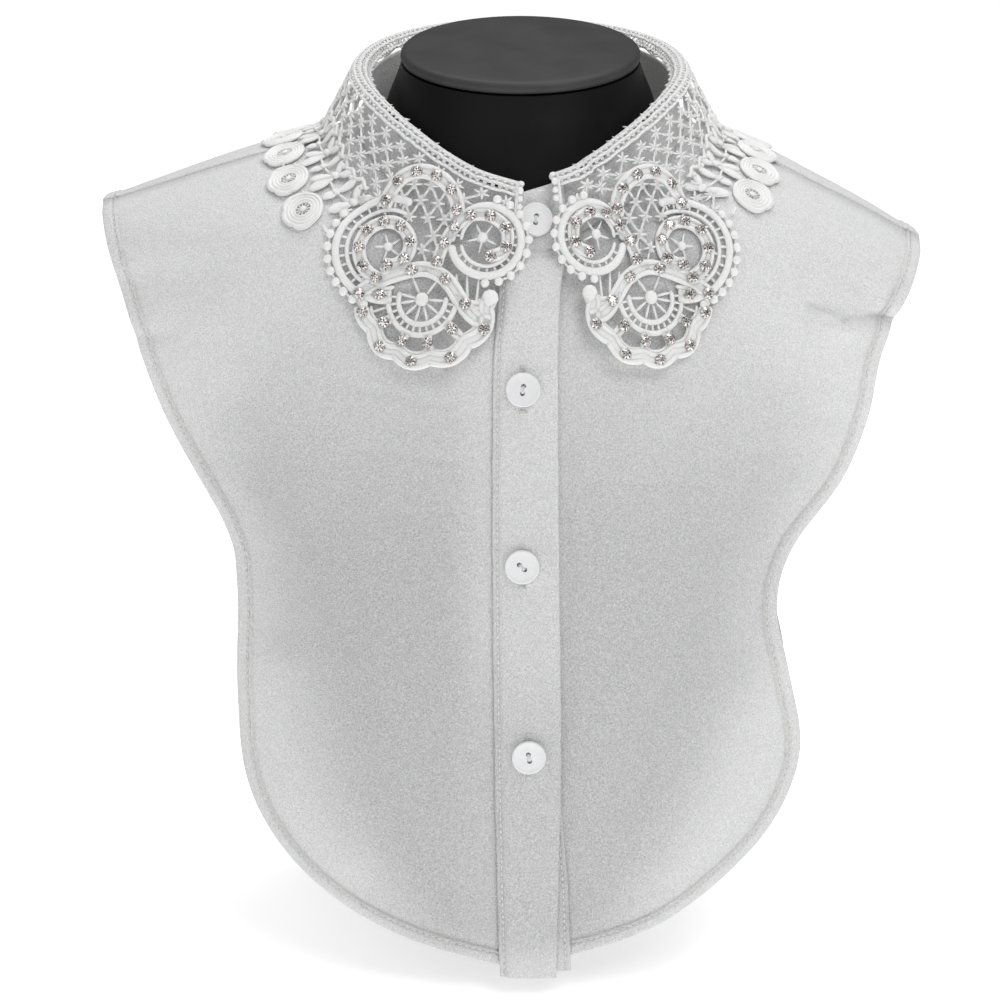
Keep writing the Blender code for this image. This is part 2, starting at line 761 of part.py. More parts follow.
def fold_line(side):
    """The stand's top edge from the front end to the centre back: places, distances and turns."""
    turn = np.linspace(0, 180, 361)
    x, y = ring(side * turn, RING_TOP)
    z = read(STAND_TOP, "height", turn) + FOLD_LIFT
    over = math.degrees(math.asin(STAND_OVER_END / RING_TOP[0]))
    lap = ease(side * turn, *STAND_LAP_RISE) * (1 - ease(side * turn, over, over + 8))
    points = np.stack([x, y, z], -1)
    points = points + unit(points * np.array([1, 1, 0])) * (STAND_LAP_LIFT * lap)[:, None]
    along = np.concatenate([[0], np.cumsum(np.linalg.norm(np.diff(points, axis=0), axis=1))])
    return points, along, turn


class LaceSurface:
    """The surface that the lace's underside lies on, found once on a grid of along and down."""

    START, DEPTH, STEP = -30.0, 92.0, 1.0

    def __init__(self, side):
        self.side = side
        line, length, turns = fold_line(side)
        self.end = length[-1]
        half = dict(zip(HALVES[0], HALVES[1 if side < 0 else 2]))
        self.front_end, self.first_tab = half["front_end"], half["first_tab"]
        self.motif, self.motif_width = (half["motif_along"], half["motif_down"]), half["motif_width"]
        self.along = np.arange(self.START, self.end + self.STEP, self.STEP)
        self.down = np.arange(0, self.DEPTH + self.STEP, self.STEP)
        inside = np.clip(self.along, 0, self.end)
        base = np.stack([np.interp(inside, length, line[:, k]) for k in range(3)], -1)
        way = unit(np.stack([np.gradient(np.interp(self.along, length, line[:, k])) for k in range(3)], -1))
        way[self.along < 1.5] = way[np.searchsorted(self.along, 1.5)]
        way[self.along > self.end - 1.5] = way[np.searchsorted(self.along, self.end - 1.5) - 1]
        base = base + way * (self.along - inside)[:, None]
        turn = np.interp(inside, length, turns)
        out = unit(np.stack([way[:, 1], -way[:, 0], 0 * turn], -1)) * side
        upright = np.array([0, 0, 1.0]) - way[:, 2:3] * way
        downward = -unit(upright)
        slant = np.radians(read(FALL, "slant", turn))[:, None]
        roll = (ROLL_FRONT + (ROLL_BACK - ROLL_FRONT) * ease(turn, 0, 50))[:, None]
        heading = unit(np.cos(slant) * downward + np.sin(slant) * out)
        self.points = self.fallen(base, out, downward, roll, heading)

    def fallen(self, base, out, downward, roll, heading):
        """Lines that roll over the fold, fall straight, and then lie on the cloth, each in its own plane."""
        landed = np.zeros((len(base), 1), bool)
        rows = [base]
        for at in self.down[1:]:
            last = rows[-1]
            turn = at / roll
            rolled = base + out * roll * (1 - np.cos(turn)) - downward * roll * np.sin(turn)
            point = np.where(turn < math.pi, rolled, last + heading * self.STEP)
            for _ in range(3):
                distance, way = body_distance(point)
                flat_way = (way * out).sum(-1, keepdims=True) * out + way * [0, 0, 1]
                short = (self.wanted(point) - distance)[:, None]
                landed |= (short > 0) & (turn > math.pi)
                slope = np.maximum((flat_way**2).sum(-1, keepdims=True), 0.2)
                point = np.where(landed, point + flat_way * short / slope, point)
                moved = unit(point - last) * self.STEP
                point = np.where(landed, last + moved, point)
            heading = np.where(turn > math.pi, unit(point - last), heading)
            rows.append(point)
        points = np.stack(rows, 1)
        for _ in range(3):
            points = self.clear(self.relax(points, 5))
        return points

    def wanted(self, points):
        """The distance from the cloth's inner surface that clears the panels, strips and top button."""
        x = points[..., 0]
        over_strips = ease(x, *OVER_STRIPS_LEFT) * (1 - ease(x, *OVER_STRIPS_RIGHT)) * (points[..., 1] < 0)
        low = WALL + LACE_CLEAR
        return low + (UPPER_LIFT + WALL + LACE_CLEAR + OVER_STRIPS_CLEAR - low) * over_strips

    def clear(self, points):
        """The points moved out wherever they come nearer to the cloth than they may."""
        distance, way = body_distance(points)
        short = np.maximum(self.wanted(points) - distance, 0) * ease(self.down, *LIES_ON_CLOTH_FROM)
        return points + way * short[..., None]

    def relax(self, points, times):
        hold = ease(self.down, *LIES_ON_CLOTH_FROM)[None, :, None]
        for _ in range(times):
            mean = points.copy()
            mean[1:-1] = (points[:-2] + points[1:-1] * 2 + points[2:]) / 4
            mean[:, 1:-1] = (mean[:, :-2] + mean[:, 1:-1] * 2 + mean[:, 2:]) / 4
            points = points + (mean - points) * hold
        return points

    def at(self, along, down):
        """The underside at each along and down."""
        i = np.clip((np.asarray(along, float) - self.START) / self.STEP, 0, len(self.along) - 1.001)
        j = np.clip(np.asarray(down, float) / self.STEP, 0, len(self.down) - 1.001)
        a, b = i.astype(int), j.astype(int)
        s, t = (i - a)[..., None], (j - b)[..., None]
        top = self.points[a, b] * (1 - s) + self.points[a + 1, b] * s
        low = self.points[a, b + 1] * (1 - s) + self.points[a + 1, b + 1] * s
        return top * (1 - t) + low * t

    def slopes(self, along, down):
        """The surface's own directions along and down, per millimetre of the flat drawing."""
        by_along = (self.at(along + 1.5, down) - self.at(along - 1.5, down)) / 3
        by_down = (self.at(along, down + 1.5) - self.at(along, down - 1.5)) / 3
        return by_along, by_down

    def walk(self, centre, p, q, plumb=False, steps=24):
        """Flat shapes drawn round a centre, laid on the surface without stretching them.

        Each point is reached from the centre by a straight walk over the surface, p towards the centre
        front and q downwards. The result is its place along and down.
        """
        p, q = np.broadcast_arrays(np.asarray(p, float), np.asarray(q, float))
        along, down = np.full(p.shape, float(centre[0])), np.full(p.shape, float(centre[1]))
        by_along, by_down = self.slopes(*centre)
        normal = unit(np.cross(by_along, by_down))
        lower = np.array([0, 0, -1.0]) if plumb else by_down
        lower = unit(lower - normal * (lower @ normal))
        fore = np.cross(lower, normal)
        fore = fore * -np.sign(fore @ by_along)
        reach = np.hypot(p, q)
        way = p[..., None] * fore + q[..., None] * lower
        for _ in range(steps):
            by_along, by_down = self.slopes(along, down)
            normal = unit(np.cross(by_along, by_down))
            way = way - normal * (way * normal).sum(-1, keepdims=True)
            way = unit(way) * reach[..., None]
            aa, bb, ab = (by_along**2).sum(-1), (by_down**2).sum(-1), (by_along * by_down).sum(-1)
            wa, wb = (way * by_along).sum(-1), (way * by_down).sum(-1)
            scale = (aa * bb - ab**2) * steps
            along = along + (bb * wa - ab * wb) / scale
            down = down + (aa * wb - ab * wa) / scale
        return along, down


def motif_places(surface, shape):
    """Points of the front motif, p towards the centre front and q down, in the lace's coordinates."""
    p, q = np.array(shape).T
    along, down = surface.walk(surface.motif, p * surface.motif_width, q, plumb=True)
    return list(zip(along, down))


def arc(centre, radius, start, end, count):
    """Points of an arc in the motif's coordinates: 0 degrees is towards the centre front, 90 is down."""
    turns = np.radians(np.linspace(start, end, count))
    return [(centre[0] + radius * math.cos(t), centre[1] + radius * math.sin(t)) for t in turns]


def tab_depth(surface, along):
    share = ease(along, surface.first_tab, surface.first_tab + TAB_DEPTH_RUN)
    return TAB_DEPTH_FIRST + (TAB_DEPTH_BACK - TAB_DEPTH_FIRST) * share


def tab_places(surface):
    """The rosette tabs' centres, evenly spaced along the outer edge to the centre back."""
    along = np.linspace(surface.first_tab, surface.end, 120)
    line = surface.at(along, tab_depth(surface, along))
    length = np.concatenate([[0], np.cumsum(np.linalg.norm(np.diff(line, axis=0), axis=1))])
    run = length[-1] - TAB_RADIUS - SEAM_GAP
    places = np.interp(np.linspace(0, run, round(run / TAB_PITCH) + 1), length, along)
    return [(float(a), float(tab_depth(surface, a))) for a in places]


def fan_edge():
    """The fan's scalloped edge, whose scallops match its windows, in the motif's coordinates."""
    places = []
    for turn in np.arange(FAN_FROM, FAN_TO + 1, FAN_STEP):
        scallop = FAN_SCALLOP_RISE * abs(math.cos(math.radians(turn - 90) * 180 / FAN_PITCH))
        reach = FAN_EDGE + FAN_FRONT_REACH * max(math.cos(math.radians(turn)), 0) + scallop
        places.append((reach * math.cos(math.radians(turn)), reach * math.sin(math.radians(turn))))
    return places[::-1]


def lace_outline(surface):
    """The lace half's outer edge: fold, centre back, rosette tabs and front motif."""
    tabs = tab_places(surface)
    end = surface.end - CENTRE_BACK_GAP
    outline = [(along, 0.0) for along in np.linspace(surface.front_end, end, FOLD_COUNT)]
    outline += [(end, at) for at in CENTRE_BACK_ROWS]
    outline.append((end, tabs[-1][1] - 4))
    for tab in tabs[::-1]:
        turns = np.radians(np.linspace(*TAB_ARC))
        along, down = surface.walk(tab, TAB_RADIUS * np.cos(turns), TAB_RADIUS * np.sin(turns))
        outline += list(zip(np.minimum(along, end), down))
    outer = motif_places(surface, arc(OUTER_LOBE, OUTER_LOBE_EDGE, *OUTER_LOBE_ARC))
    outer = [(min(along, outline[-1][0] - 0.8), down) for along, down in outer if down > outline[-1][1] - 3]
    rest = fan_edge() + arc(INNER_LOBE, INNER_LOBE_EDGE, *INNER_LOBE_ARC)
    inner = motif_places(surface, rest)
    inner = [place for place in inner if place[0] < surface.front_end + 0.5 or place[1] > surface.motif[1]]
    return outline + outer + inner


def ellipse_hole(centre, radii, turn=0.0, sides=8):
    angle = math.radians(turn)
    hole = []
    for k in range(sides):
        around = 2 * math.pi * (k + 0.5) / sides
        u, v = radii[0] * math.cos(around), radii[1] * math.sin(around)
        turned = (u * math.cos(angle) - v * math.sin(angle), u * math.sin(angle) + v * math.cos(angle))
        hole.append((centre[0] + turned[0], centre[1] + turned[1]))
    return hole


def ring_hole(centre, low, high, start, end, steps=3):
    """A hole between two radii and two angles round a centre, in the motif's own coordinates."""
    angles = np.radians(np.linspace(start, end, steps))
    outer = [(centre[0] + high * math.cos(a), centre[1] + high * math.sin(a)) for a in angles]
    inner = [(centre[0] + low * math.cos(a), centre[1] + low * math.sin(a)) for a in angles[::-1]]
    return outer + inner


def motif_holes():
    """The front motif's gaps over 4 mm, in its own coordinates."""
    holes = []
    fan = (0.0, 0.0)
    for k in range(FAN_WINDOWS):
        middle = FAN_FIRST_WINDOW + k * FAN_PITCH
        low, high, half = FAN_WINDOW
        holes.append(ring_hole(fan, low, high, middle - half, middle + half))
    for k in range(FAN_SPOKES):
        middle = 90 + (k - (FAN_SPOKES - 1) / 2) * FAN_PITCH
        low, high, half = FAN_SPOKE_GAP
        holes.append(ring_hole(fan, low, high, middle - half, middle + half))
    for centre, radii, turn in MOTIF_GAPS[1:]:
        holes.append(ellipse_hole(centre, radii, turn))
    return holes


def lace_holes(surface):
    """All gaps over 4 mm of one half, in the lace's coordinates."""
    holes = [motif_places(surface, hole) for hole in motif_holes()]
    tabs = tab_places(surface)
    for first, second in zip(tabs, tabs[1:]):
        between = ((first[0] + second[0]) / 2, (first[1] + second[1]) / 2)
        for place, radii in TAB_GAPS[1:]:
            p, q = np.array(ellipse_hole(place, radii)).T
            holes.append(list(zip(*surface.walk(between, p, q))))
    return holes


def flat_lace(loops):
    """A flat mesh, inside the first loop and outside the others."""
    curve = bpy.data.curves.new("lace_flat", "CURVE")
    curve.dimensions = "2D"
    curve.fill_mode = "BOTH"
    for loop in loops:
        spline = curve.splines.new("POLY")
        spline.points.add(len(loop) - 1)
        for point, (along, down) in zip(spline.points, loop):
            point.co = (along * MM, down * MM, 0, 1)
        spline.use_cyclic_u = True
    flat = bpy.data.objects.new("lace_flat", curve)
    bpy.context.scene.collection.objects.link(flat)
    graph = bpy.context.evaluated_depsgraph_get()
    mesh = bpy.data.meshes.new_from_object(flat.evaluated_get(graph))
    bpy.data.objects.remove(flat)
    return mesh


def lace_half(side, collection, finish):
    """One half of the lace collar: its flat outline with its gaps cut, bent over the stand and shoulder."""
    surface = LaceSurface(side)
    mesh = flat_lace([lace_outline(surface)] + lace_holes(surface))
    bm = bmesh.new()
    bm.from_mesh(mesh)
    bmesh.ops.remove_doubles(bm, verts=bm.verts, dist=0.005 * MM)
    bmesh.ops.dissolve_limit(bm, angle_limit=0.02, verts=bm.verts, edges=bm.edges)
    bends = [((at, 0, 0), (1, 0, 0)) for at in np.arange(LACE_BEND_FROM, surface.end, LACE_BEND_STEP)]
    bends += [((0, at, 0), (0, 1, 0)) for at in LACE_BEND_ROWS]
    for place, normal in bends:
        geometry = bm.verts[:] + bm.edges[:] + bm.faces[:]
        place = Vector(place) * MM
        bmesh.ops.bisect_plane(bm, geom=geometry, dist=0.002 * MM, plane_co=place, plane_no=normal)
    bmesh.ops.triangulate(bm, faces=bm.faces)
    bmesh.ops.remove_doubles(bm, verts=bm.verts, dist=0.03 * MM)
    for vertex in bm.verts:
        vertex.co = Vector(surface.at(vertex.co.x / MM, vertex.co.y / MM)) * MM
    bmesh.ops.recalc_face_normals(bm, faces=bm.faces)
    bm.normal_update()
    centres = [(face, face.calc_center_median() / MM) for face in bm.faces]
    on_chest = [face for face, at in centres if at.y < 0 and at.z < STAND_TOP[1][1]]
    if sum(face.normal.y * face.calc_area() for face in on_chest) > 0:
        bmesh.ops.reverse_faces(bm, faces=bm.faces)
    bm.to_mesh(mesh)
    bm.free()
    obj = add_object("lace_left" if side < 0 else "lace_right", mesh, collection, finish)
    shell = obj.modifiers.new("wall", "SOLIDIFY")
    shell.thickness = LACE_WALL * MM
    shell.offset = 1
    return obj


# Bust form

def inside_cloth(x, y, z):
    """True where a point is inside the worn cloth by the form's clearance."""
    reach_front = RIDGE_DEPTH - flat_front(x, z) - FORM_CLEAR
    reach_back = flat_back(x, z) - RIDGE_DEPTH - FORM_CLEAR
    reach = np.where(y > RIDGE_DEPTH, reach_back, reach_front)
    turned = ridge_round(x)
    above = np.maximum(z + FORM_CLEAR_TOP - ridge_height(x) + turned, 0) / turned
    return ((y - RIDGE_DEPTH) / reach) ** 2 + above**2 < 1


def form_section(z, count):
    """A horizontal section of the form: its own oval, taken in where the cloth lies on it."""
    turn = np.linspace(0, 360, count, endpoint=False)
    half_width, front, back = (float(read(FORM, name, z)) for name in FORM[0][1:])
    x, y = ring(turn, (half_width, front, back))
    low, high = np.zeros(count), np.ones(count)
    for _ in range(30):
        middle = (low + high) / 2
        fits = inside_cloth(x * middle, y * middle, z)
        low, high = np.where(fits, middle, low), np.where(fits, high, middle)
    body = np.where(inside_cloth(x, y, z), 1.0, low)
    x, y = x * body, y * body
    if z >= NECK[1][0]:
        neck_x, neck_y = ring(turn, [float(read(NECK, name, z)) for name in NECK[0][1:]])
        wider = np.hypot(neck_x, neck_y) > np.hypot(x, y)
        x, y = np.where(wider, neck_x, x), np.where(wider, neck_y, y)
    return x, y


def tilt_at(z):
    return math.tan(math.radians(NECK_TILT)) * ease(z, NECK_TILT_FROM, NECK[-1][0])


def bust_form(collection, finish, count=36):
    """The bust from its flat foot to the top of its neck, which is cut at a slight forward tilt."""
    heights = BODY_LEVELS + SHOULDER_LEVELS + NECK_LEVELS
    bm = bmesh.new()
    rings = []
    for z in heights:
        x, y = form_section(z, count)
        tilted = z + tilt_at(z) * y
        rings.append([bm.verts.new(Vector(p) * MM) for p in zip(x, y, tilted)])
    for lower, upper in zip(rings, rings[1:]):
        for k in range(count):
            after = (k + 1) % count
            bm.faces.new((lower[k], lower[after], upper[after], upper[k]))
    bm.faces.new(rings[0][::-1])
    bm.faces.new(rings[-1])
    bmesh.ops.recalc_face_normals(bm, faces=bm.faces)
    mesh = bpy.data.meshes.new("bust_form")
    bm.to_mesh(mesh)
    bm.free()
    return add_object("bust_form", mesh, collection, finish)


def form_cap(collection, finish):
    """The padded cap on the neck: a turned disc with a rounded edge, scaled to the neck and tilted."""
    shoulder = CAP_THICK - CAP_DOME
    profile = [(0.0, CAP_THICK), (CAP_HALF_WIDTH * 0.6, CAP_THICK - CAP_DOME * 0.45)]
    for angle in CAP_EDGE_ARC:
        turn = math.radians(angle)
        reach = CAP_HALF_WIDTH - CAP_EDGE + CAP_EDGE * math.cos(turn)
        profile.append((reach, shoulder - CAP_EDGE + CAP_EDGE * math.sin(turn)))
    profile += [(CAP_HALF_WIDTH - CAP_UNDERCUT, 0.0), (0.0, 0.0)]
    deep = CAP_HALF_DEPTH / CAP_HALF_WIDTH
    mesh = bpy.data.meshes.new("form_cap")
    points = [(r * MM, 0, h * MM) for r, h in profile]
    mesh.from_pydata(points, [(k, k + 1) for k in range(len(points) - 1)], [])
    obj = add_object("form_cap", mesh, collection, finish)
    turned = obj.modifiers.new("turned", "SCREW")
    turned.steps = turned.render_steps = CAP_SIDES
    turned.use_merge_vertices = True
    turned.merge_threshold = 0.00001
    neck_top = NECK[-1][0] + SEAM_GAP + 0.1
    middle = (NECK[-1][3] - NECK[-1][2]) / 2
    obj.matrix_world = (
        Matrix.Translation(Vector((0, middle, neck_top + math.tan(math.radians(NECK_TILT)) * middle)) * MM)
        @ Matrix.Rotation(math.radians(NECK_TILT), 4, "X")
        @ Matrix.Diagonal((1, deep, 1, 1))
    )
    return obj


def main():
    for obj in list(bpy.data.objects):
        bpy.data.objects.remove(obj)
    parts = bpy.data.collections.new("lace_collar_on_bust_form")
    cutters = bpy.data.collections.new("cutters")
    bpy.context.scene.collection.children.link(parts)
    bpy.context.scene.collection.children.link(cutters)
    cloth = material("crepe", WHITE, 0.85)
    lace = material("lace", LACE_WHITE, 0.8)
    shine = material("button", BUTTON_WHITE, 0.3)
    black = material("form", FORM_BLACK, 0.5)

    bust_form(parts, black)
    form_cap(parts, black)
    for side in (-1, 1):
        front_panel(side, parts, cloth)
    back_panel(parts, cloth)
    strip("lower", LOWER_STRIP_FOOT, lower_lift, parts, cloth)
    strip("upper", UPPER_STRIP_FOOT, upper_lift, parts, cloth)
    stand(parts, cloth)
    for name, x, z, hole_turn in BUTTONS[1:]:
        if name == "button_top":
            at, normal = stand_outer(x, z)
            at = at + normal * BUTTON_TOP_SEAT
        else:
            at = on_front(np.array(x), np.array(z), UPPER_LIFT + WALL + SEAM_GAP)
            normal = front_normal(np.array(x), np.array(z))
        button(name, at, normal, hole_turn, parts, cutters, shine)
    for side in (-1, 1):
        lace_half(side, parts, lace)


main()
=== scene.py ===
"""Looks of a white lace collar (a dickey) worn by a limbless bust form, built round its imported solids.

Sizes and tables are in millimetres, and meshes are scaled to metres as they are made. The front faces -Y,
+X is the viewer's right and +Z is up.
"""

import math

import bmesh
import bpy
import numpy as np
from mathutils import Matrix, Vector

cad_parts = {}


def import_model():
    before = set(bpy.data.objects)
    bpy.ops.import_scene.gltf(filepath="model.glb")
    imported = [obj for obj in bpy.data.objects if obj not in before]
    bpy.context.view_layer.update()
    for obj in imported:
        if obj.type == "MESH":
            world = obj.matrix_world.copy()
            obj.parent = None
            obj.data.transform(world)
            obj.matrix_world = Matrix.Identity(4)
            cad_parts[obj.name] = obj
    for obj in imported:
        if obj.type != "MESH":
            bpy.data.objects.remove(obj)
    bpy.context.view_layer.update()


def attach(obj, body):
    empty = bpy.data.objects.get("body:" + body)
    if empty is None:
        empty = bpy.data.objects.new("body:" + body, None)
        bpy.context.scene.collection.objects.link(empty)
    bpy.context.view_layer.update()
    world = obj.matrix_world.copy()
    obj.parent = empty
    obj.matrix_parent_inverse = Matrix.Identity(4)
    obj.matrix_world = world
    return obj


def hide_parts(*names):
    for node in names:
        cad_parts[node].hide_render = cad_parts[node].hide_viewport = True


MM = 0.001

# Camera: the lens stands for a telephoto that sees the object from slightly above.
LENS = 158.96
SENSOR = 36.0
CAMERA_AT = (-7.7, -1634.14, 632.3)
CAMERA_AIM = (-7.7, 0.0, 163.7)

# Cloth walls and seams, as in the solids.
WALL = 1.2
CLOTH = 0.55
HEM_WIDTH = 5.6
SEAM_GAP = 0.3
SHOULDER_SEAM_NECK = 14.0
SHOULDER_SEAM_TIP = 4.0
SHOULDER_TIP_REACH = 150.0
HEM_STITCH = 4.5
HEM_RISE = 0.95
HEM_SUNK = 0.15
HEM_ROUND = 1.1
HEM_STITCH_DIP = 0.5

BODY = (
    ("height", "front", "back", "spread"),
    (0, -97.0, 72.0, 118),
    (60, -97.0, 74.0, 115),
    (100, -96.0, 76.0, 110),
    (150, -92.5, 79.0, 106),
    (190, -88.5, 80.5, 117),
    (230, -82.0, 79.5, 132),
    (270, -69.0, 74.5, 147),
    (300, -56.5, 67.5, 150),
    (330, -47.0, 60.0, 152),
)
SIDE_FALL = 47.0
BACK_FALL = 40.0
RIDGE = (
    ("reach", "left", "right"),
    (0, 309.0, 309.0),
    (61, 308.0, 308.0),
    (90, 302.5, 299.5),
    (110, 296.5, 289.5),
    (133, 288.5, 277.0),
    (160, 279.0, 260.0),
)
RIDGE_DEPTH = 4.0
MIDDLE_OF_CHEST = (0, RIDGE_DEPTH, 200)
ROUND_AT_NECK = (61, 34.0)
ROUND_AT_TIP = (158, 13.0)
OUTLINE_LEFT = (
    ("reach", "height"),
    (157.5, 279.2),
    (148.5, 250.0),
    (133.0, 207.0),
    (110.5, 167.0),
    (106.0, 145.0),
    (106.0, 105.0),
    (103.0, 73.0),
    (91.0, 50.0),
    (70.0, 32.0),
    (42.0, 19.5),
    (0.0, 9.5),
)
OUTLINE_RIGHT = (
    ("reach", "height"),
    (150.5, 264.8),
    (146.5, 256.5),
    (134.5, 231.0),
    (129.5, 206.0),
    (120.0, 183.0),
    (101.5, 160.0),
    (95.5, 139.0),
    (100.0, 114.0),
    (105.0, 88.0),
    (102.0, 70.0),
    (90.0, 51.0),
    (66.0, 32.0),
    (42.0, 20.5),
    (0.0, 11.0),
)
CENTRE_FOOT = 30.0

# Main folds as in the solids, then the finer creases that only show here: a line, half its width and
# its height, which is negative for a trough.
FRONT_FOLDS = (
    ("x0", "z0", "x1", "z1", "width", "rise"),
    (110, 266, 133, 246, 6.5, -3.6),
    (108, 251, 137, 243, 3.6, -2.4),
    (118, 245, 140, 247, 8.0, 2.5),
    (-118, 262, -150, 254, 9.0, -2.5),
    (-104, 214, -92, 132, 11.0, -2.6),
    (-84, 120, -62, 52, 10.0, 2.2),
    (96, 196, 84, 128, 10.0, -2.2),
    (78, 104, 52, 48, 11.0, 2.0),
)
BACK_FOLDS = (
    ("x0", "z0", "x1", "z1", "width", "rise"),
    (-96, 250, -118, 214, 9.0, -3.5),
    (100, 240, 120, 210, 9.0, -4.0),
    (-40, 190, -58, 70, 12.0, 2.4),
    (44, 176, 66, 80, 12.0, 2.6),
    (2, 210, -6, 90, 10.0, -1.8),
)
FRONT_CREASES = (
    ("x0", "z0", "x1", "z1", "width", "rise"),
    (107, 277, 117, 270, 3.2, -1.5),
    (106, 253, 120, 245.5, 1.5, -1.3),
    (120, 245.5, 139, 243.5, 1.4, -1.5),
    (108, 246, 134, 238.5, 2.2, 0.7),
    (104, 214, 122, 206, 3.0, -0.5),
    (-72, 229, -24, 223, 1.6, -0.35),
    (-60, 205, -18, 202, 1.4, -0.3),
    (-66, 188, -34, 181, 1.5, -0.3),
    (30, 236, 62, 231, 1.6, -0.3),
    (24, 196, 70, 190, 1.5, -0.35),
    (-100, 196, -84, 143, 3.4, -0.6),
    (-76, 158, -58, 92, 4.6, 0.5),
    (-50, 84, -30, 40, 3.8, -0.5),
    (90, 178, 80, 120, 3.6, -0.5),
    (60, 120, 44, 60, 4.4, 0.5),
    (-128, 240, -142, 236, 3.2, -0.7),
    (-132, 250, -146, 262, 3.6, 0.6),
)
BACK_CREASES_FROM = (20, 60)
BACK_CREASES = (
    ("x0", "z0", "x1", "z1", "width", "rise"),
    (-92, 244, -112, 222, 3.0, -1.0),
    (96, 236, 116, 214, 2.6, -1.1),
    (-64, 210, -14, 204, 1.8, -0.35),
    (18, 176, 62, 169, 1.6, -0.35),
    (-70, 150, -54, 88, 4.2, 0.5),
    (58, 148, 70, 84, 3.6, -0.5),
    (-30, 96, -16, 44, 3.6, -0.45),
    (22, 232, 30, 172, 4.8, 0.5),
)

STRIPS = (
    ("height", "upper_left", "upper_right", "lower_left", "lower_right"),
    (8, -7.6, 12.9, -2.2, 18.4),
    (40, -8.6, 13.6, -2.8, 17.4),
    (95, -9.6, 14.4, -3.6, 13.2),
    (150, -10.2, 13.7, -4.2, 12.0),
    (190, -10.4, 13.3, -4.4, 11.6),
    (235, -10.0, 13.0, -4.0, 11.4),
    (262, -8.2, 14.0, -2.6, 12.0),
    (276, -7.4, 16.2, -1.8, 13.4),
)
STRIP_TOP = 274.6
UPPER_STRIP_FOOT = 7.6
LOWER_STRIP_FOOT = 9.6
STRIP_LAP = 4.0
STRIP_LIFT = 1.5
UPPER_LIFT = 3.1
UPPER_BEND = 4.2
OVER_HEM_LIFT = 0.9
OVER_HEM_UNTIL = (15.0, 26.0)

RING_FOOT = (60.5, 66.0, 64.0)
RING_TOP = (57.0, 57.0, 62.5)
SEAM_TURN = math.degrees(math.acos(-(RIDGE_DEPTH - SHOULDER_SEAM_NECK) / RING_FOOT[1]))
STAND_TOP = (
    ("turn", "height"),
    (0, 296.5),
    (20, 302.5),
    (45, 314.5),
    (65, 322.5),
    (90, 328.0),
    (135, 333.0),
    (180, 335.0),
)
STAND_LAP_LIFT = 1.8
STAND_LAP_RISE = (-23.0, -9.7)
STAND_OVER_END = 16.0
STAND_UNDER_END = -9.0

BUTTON_RADIUS = 6.3
BUTTON_THICK = 2.2
BUTTON_HOLE_RADIUS = 0.75
BUTTON_HOLE_APART = 2.7
BUTTON_TOP_SEAT = 0.75
BUTTONS = (
    ("name", "x", "height", "hole_turn"),
    ("button_top", 5.2, 287.5, 80.0),
    ("button_1", 0.6, 229.1, 82.0),
    ("button_2", 0.3, 165.5, 137.0),
    ("button_3", 2.8, 94.3, 100.0),
)

# The lace: its surface, as in the solids.
LACE_CLEAR = 0.75
OVER_STRIPS_LEFT = (-17.0, -10.5)
OVER_STRIPS_RIGHT = (14.5, 21.0)
OVER_STRIPS_CLEAR = 0.4
LIES_ON_CLOTH_FROM = (10.0, 17.0)
ROLL_FRONT = 2.6
FOLD_LIFT = 1.1
ROLL_BACK = 3.2
FALL = (
    ("turn", "slant"),
    (0, 22.0),
    (45, 25.0),
    (90, 28.0),
    (135, 26.0),
    (180, 22.0),
)
TAB_DEPTH_FIRST = 56.0
TAB_DEPTH_BACK = 49.0
TAB_DEPTH_RUN = 28.0
TAB_RADIUS = 8.0
ROSETTE_RADIUS = 8.5
ROSETTE_SIDES = 72
ROSETTE_RIDGES = 4
ROSETTE_HOLE = (2.4, 2.9)
ROSETTE_SPOKE_TURN = 32.7
BRAID_WIDTH = 5.8
EDGE_ROWS = (0.8, 3.0, 5.0, 6.9, 9.0)
EDGE_CORD = (1.3, 1.2)
EDGE_STEP = 1.1
ROW_CORD = (1.2, 1.1)
ROW_THREAD = (0.85, 0.9)
ROW_PITCH = 1.2
ROW_LEAN = 0.9
FRINGE_THREAD = (0.7, 0.6)
FRINGE_PITCH = 1.5
FRINGE_SHORTENS = (45, 75)
FRONT_LEAN = 2.0
FRONT_EDGE_FOOT = 17
NET_ABOVE_TABS = 24.0
LEAVES_ABOVE_TABS = 16.5
LOW_LEAF = 3.7
LOW_LEAF_TIP = (4.4, 6.2)
HIGH_LEAF = 3.1
HIGH_LEAF_TIP = (3.6, 6.6)
SPRIG_ABOVE_TABS = 13.6
LEAF_BRIDE = 0.95
TAB_BRIDE = 1.1
TAB_PITCH = 17.2
CENTRE_BACK_GAP = 0.7
HALVES = (
    ("front_end", "motif_along", "motif_down", "first_tab", "motif_width"),
    (1.5, 15.5, 55.8, 53.0, 1.0),
    (13.0, 20.5, 60.0, 61.0, 0.92),
)

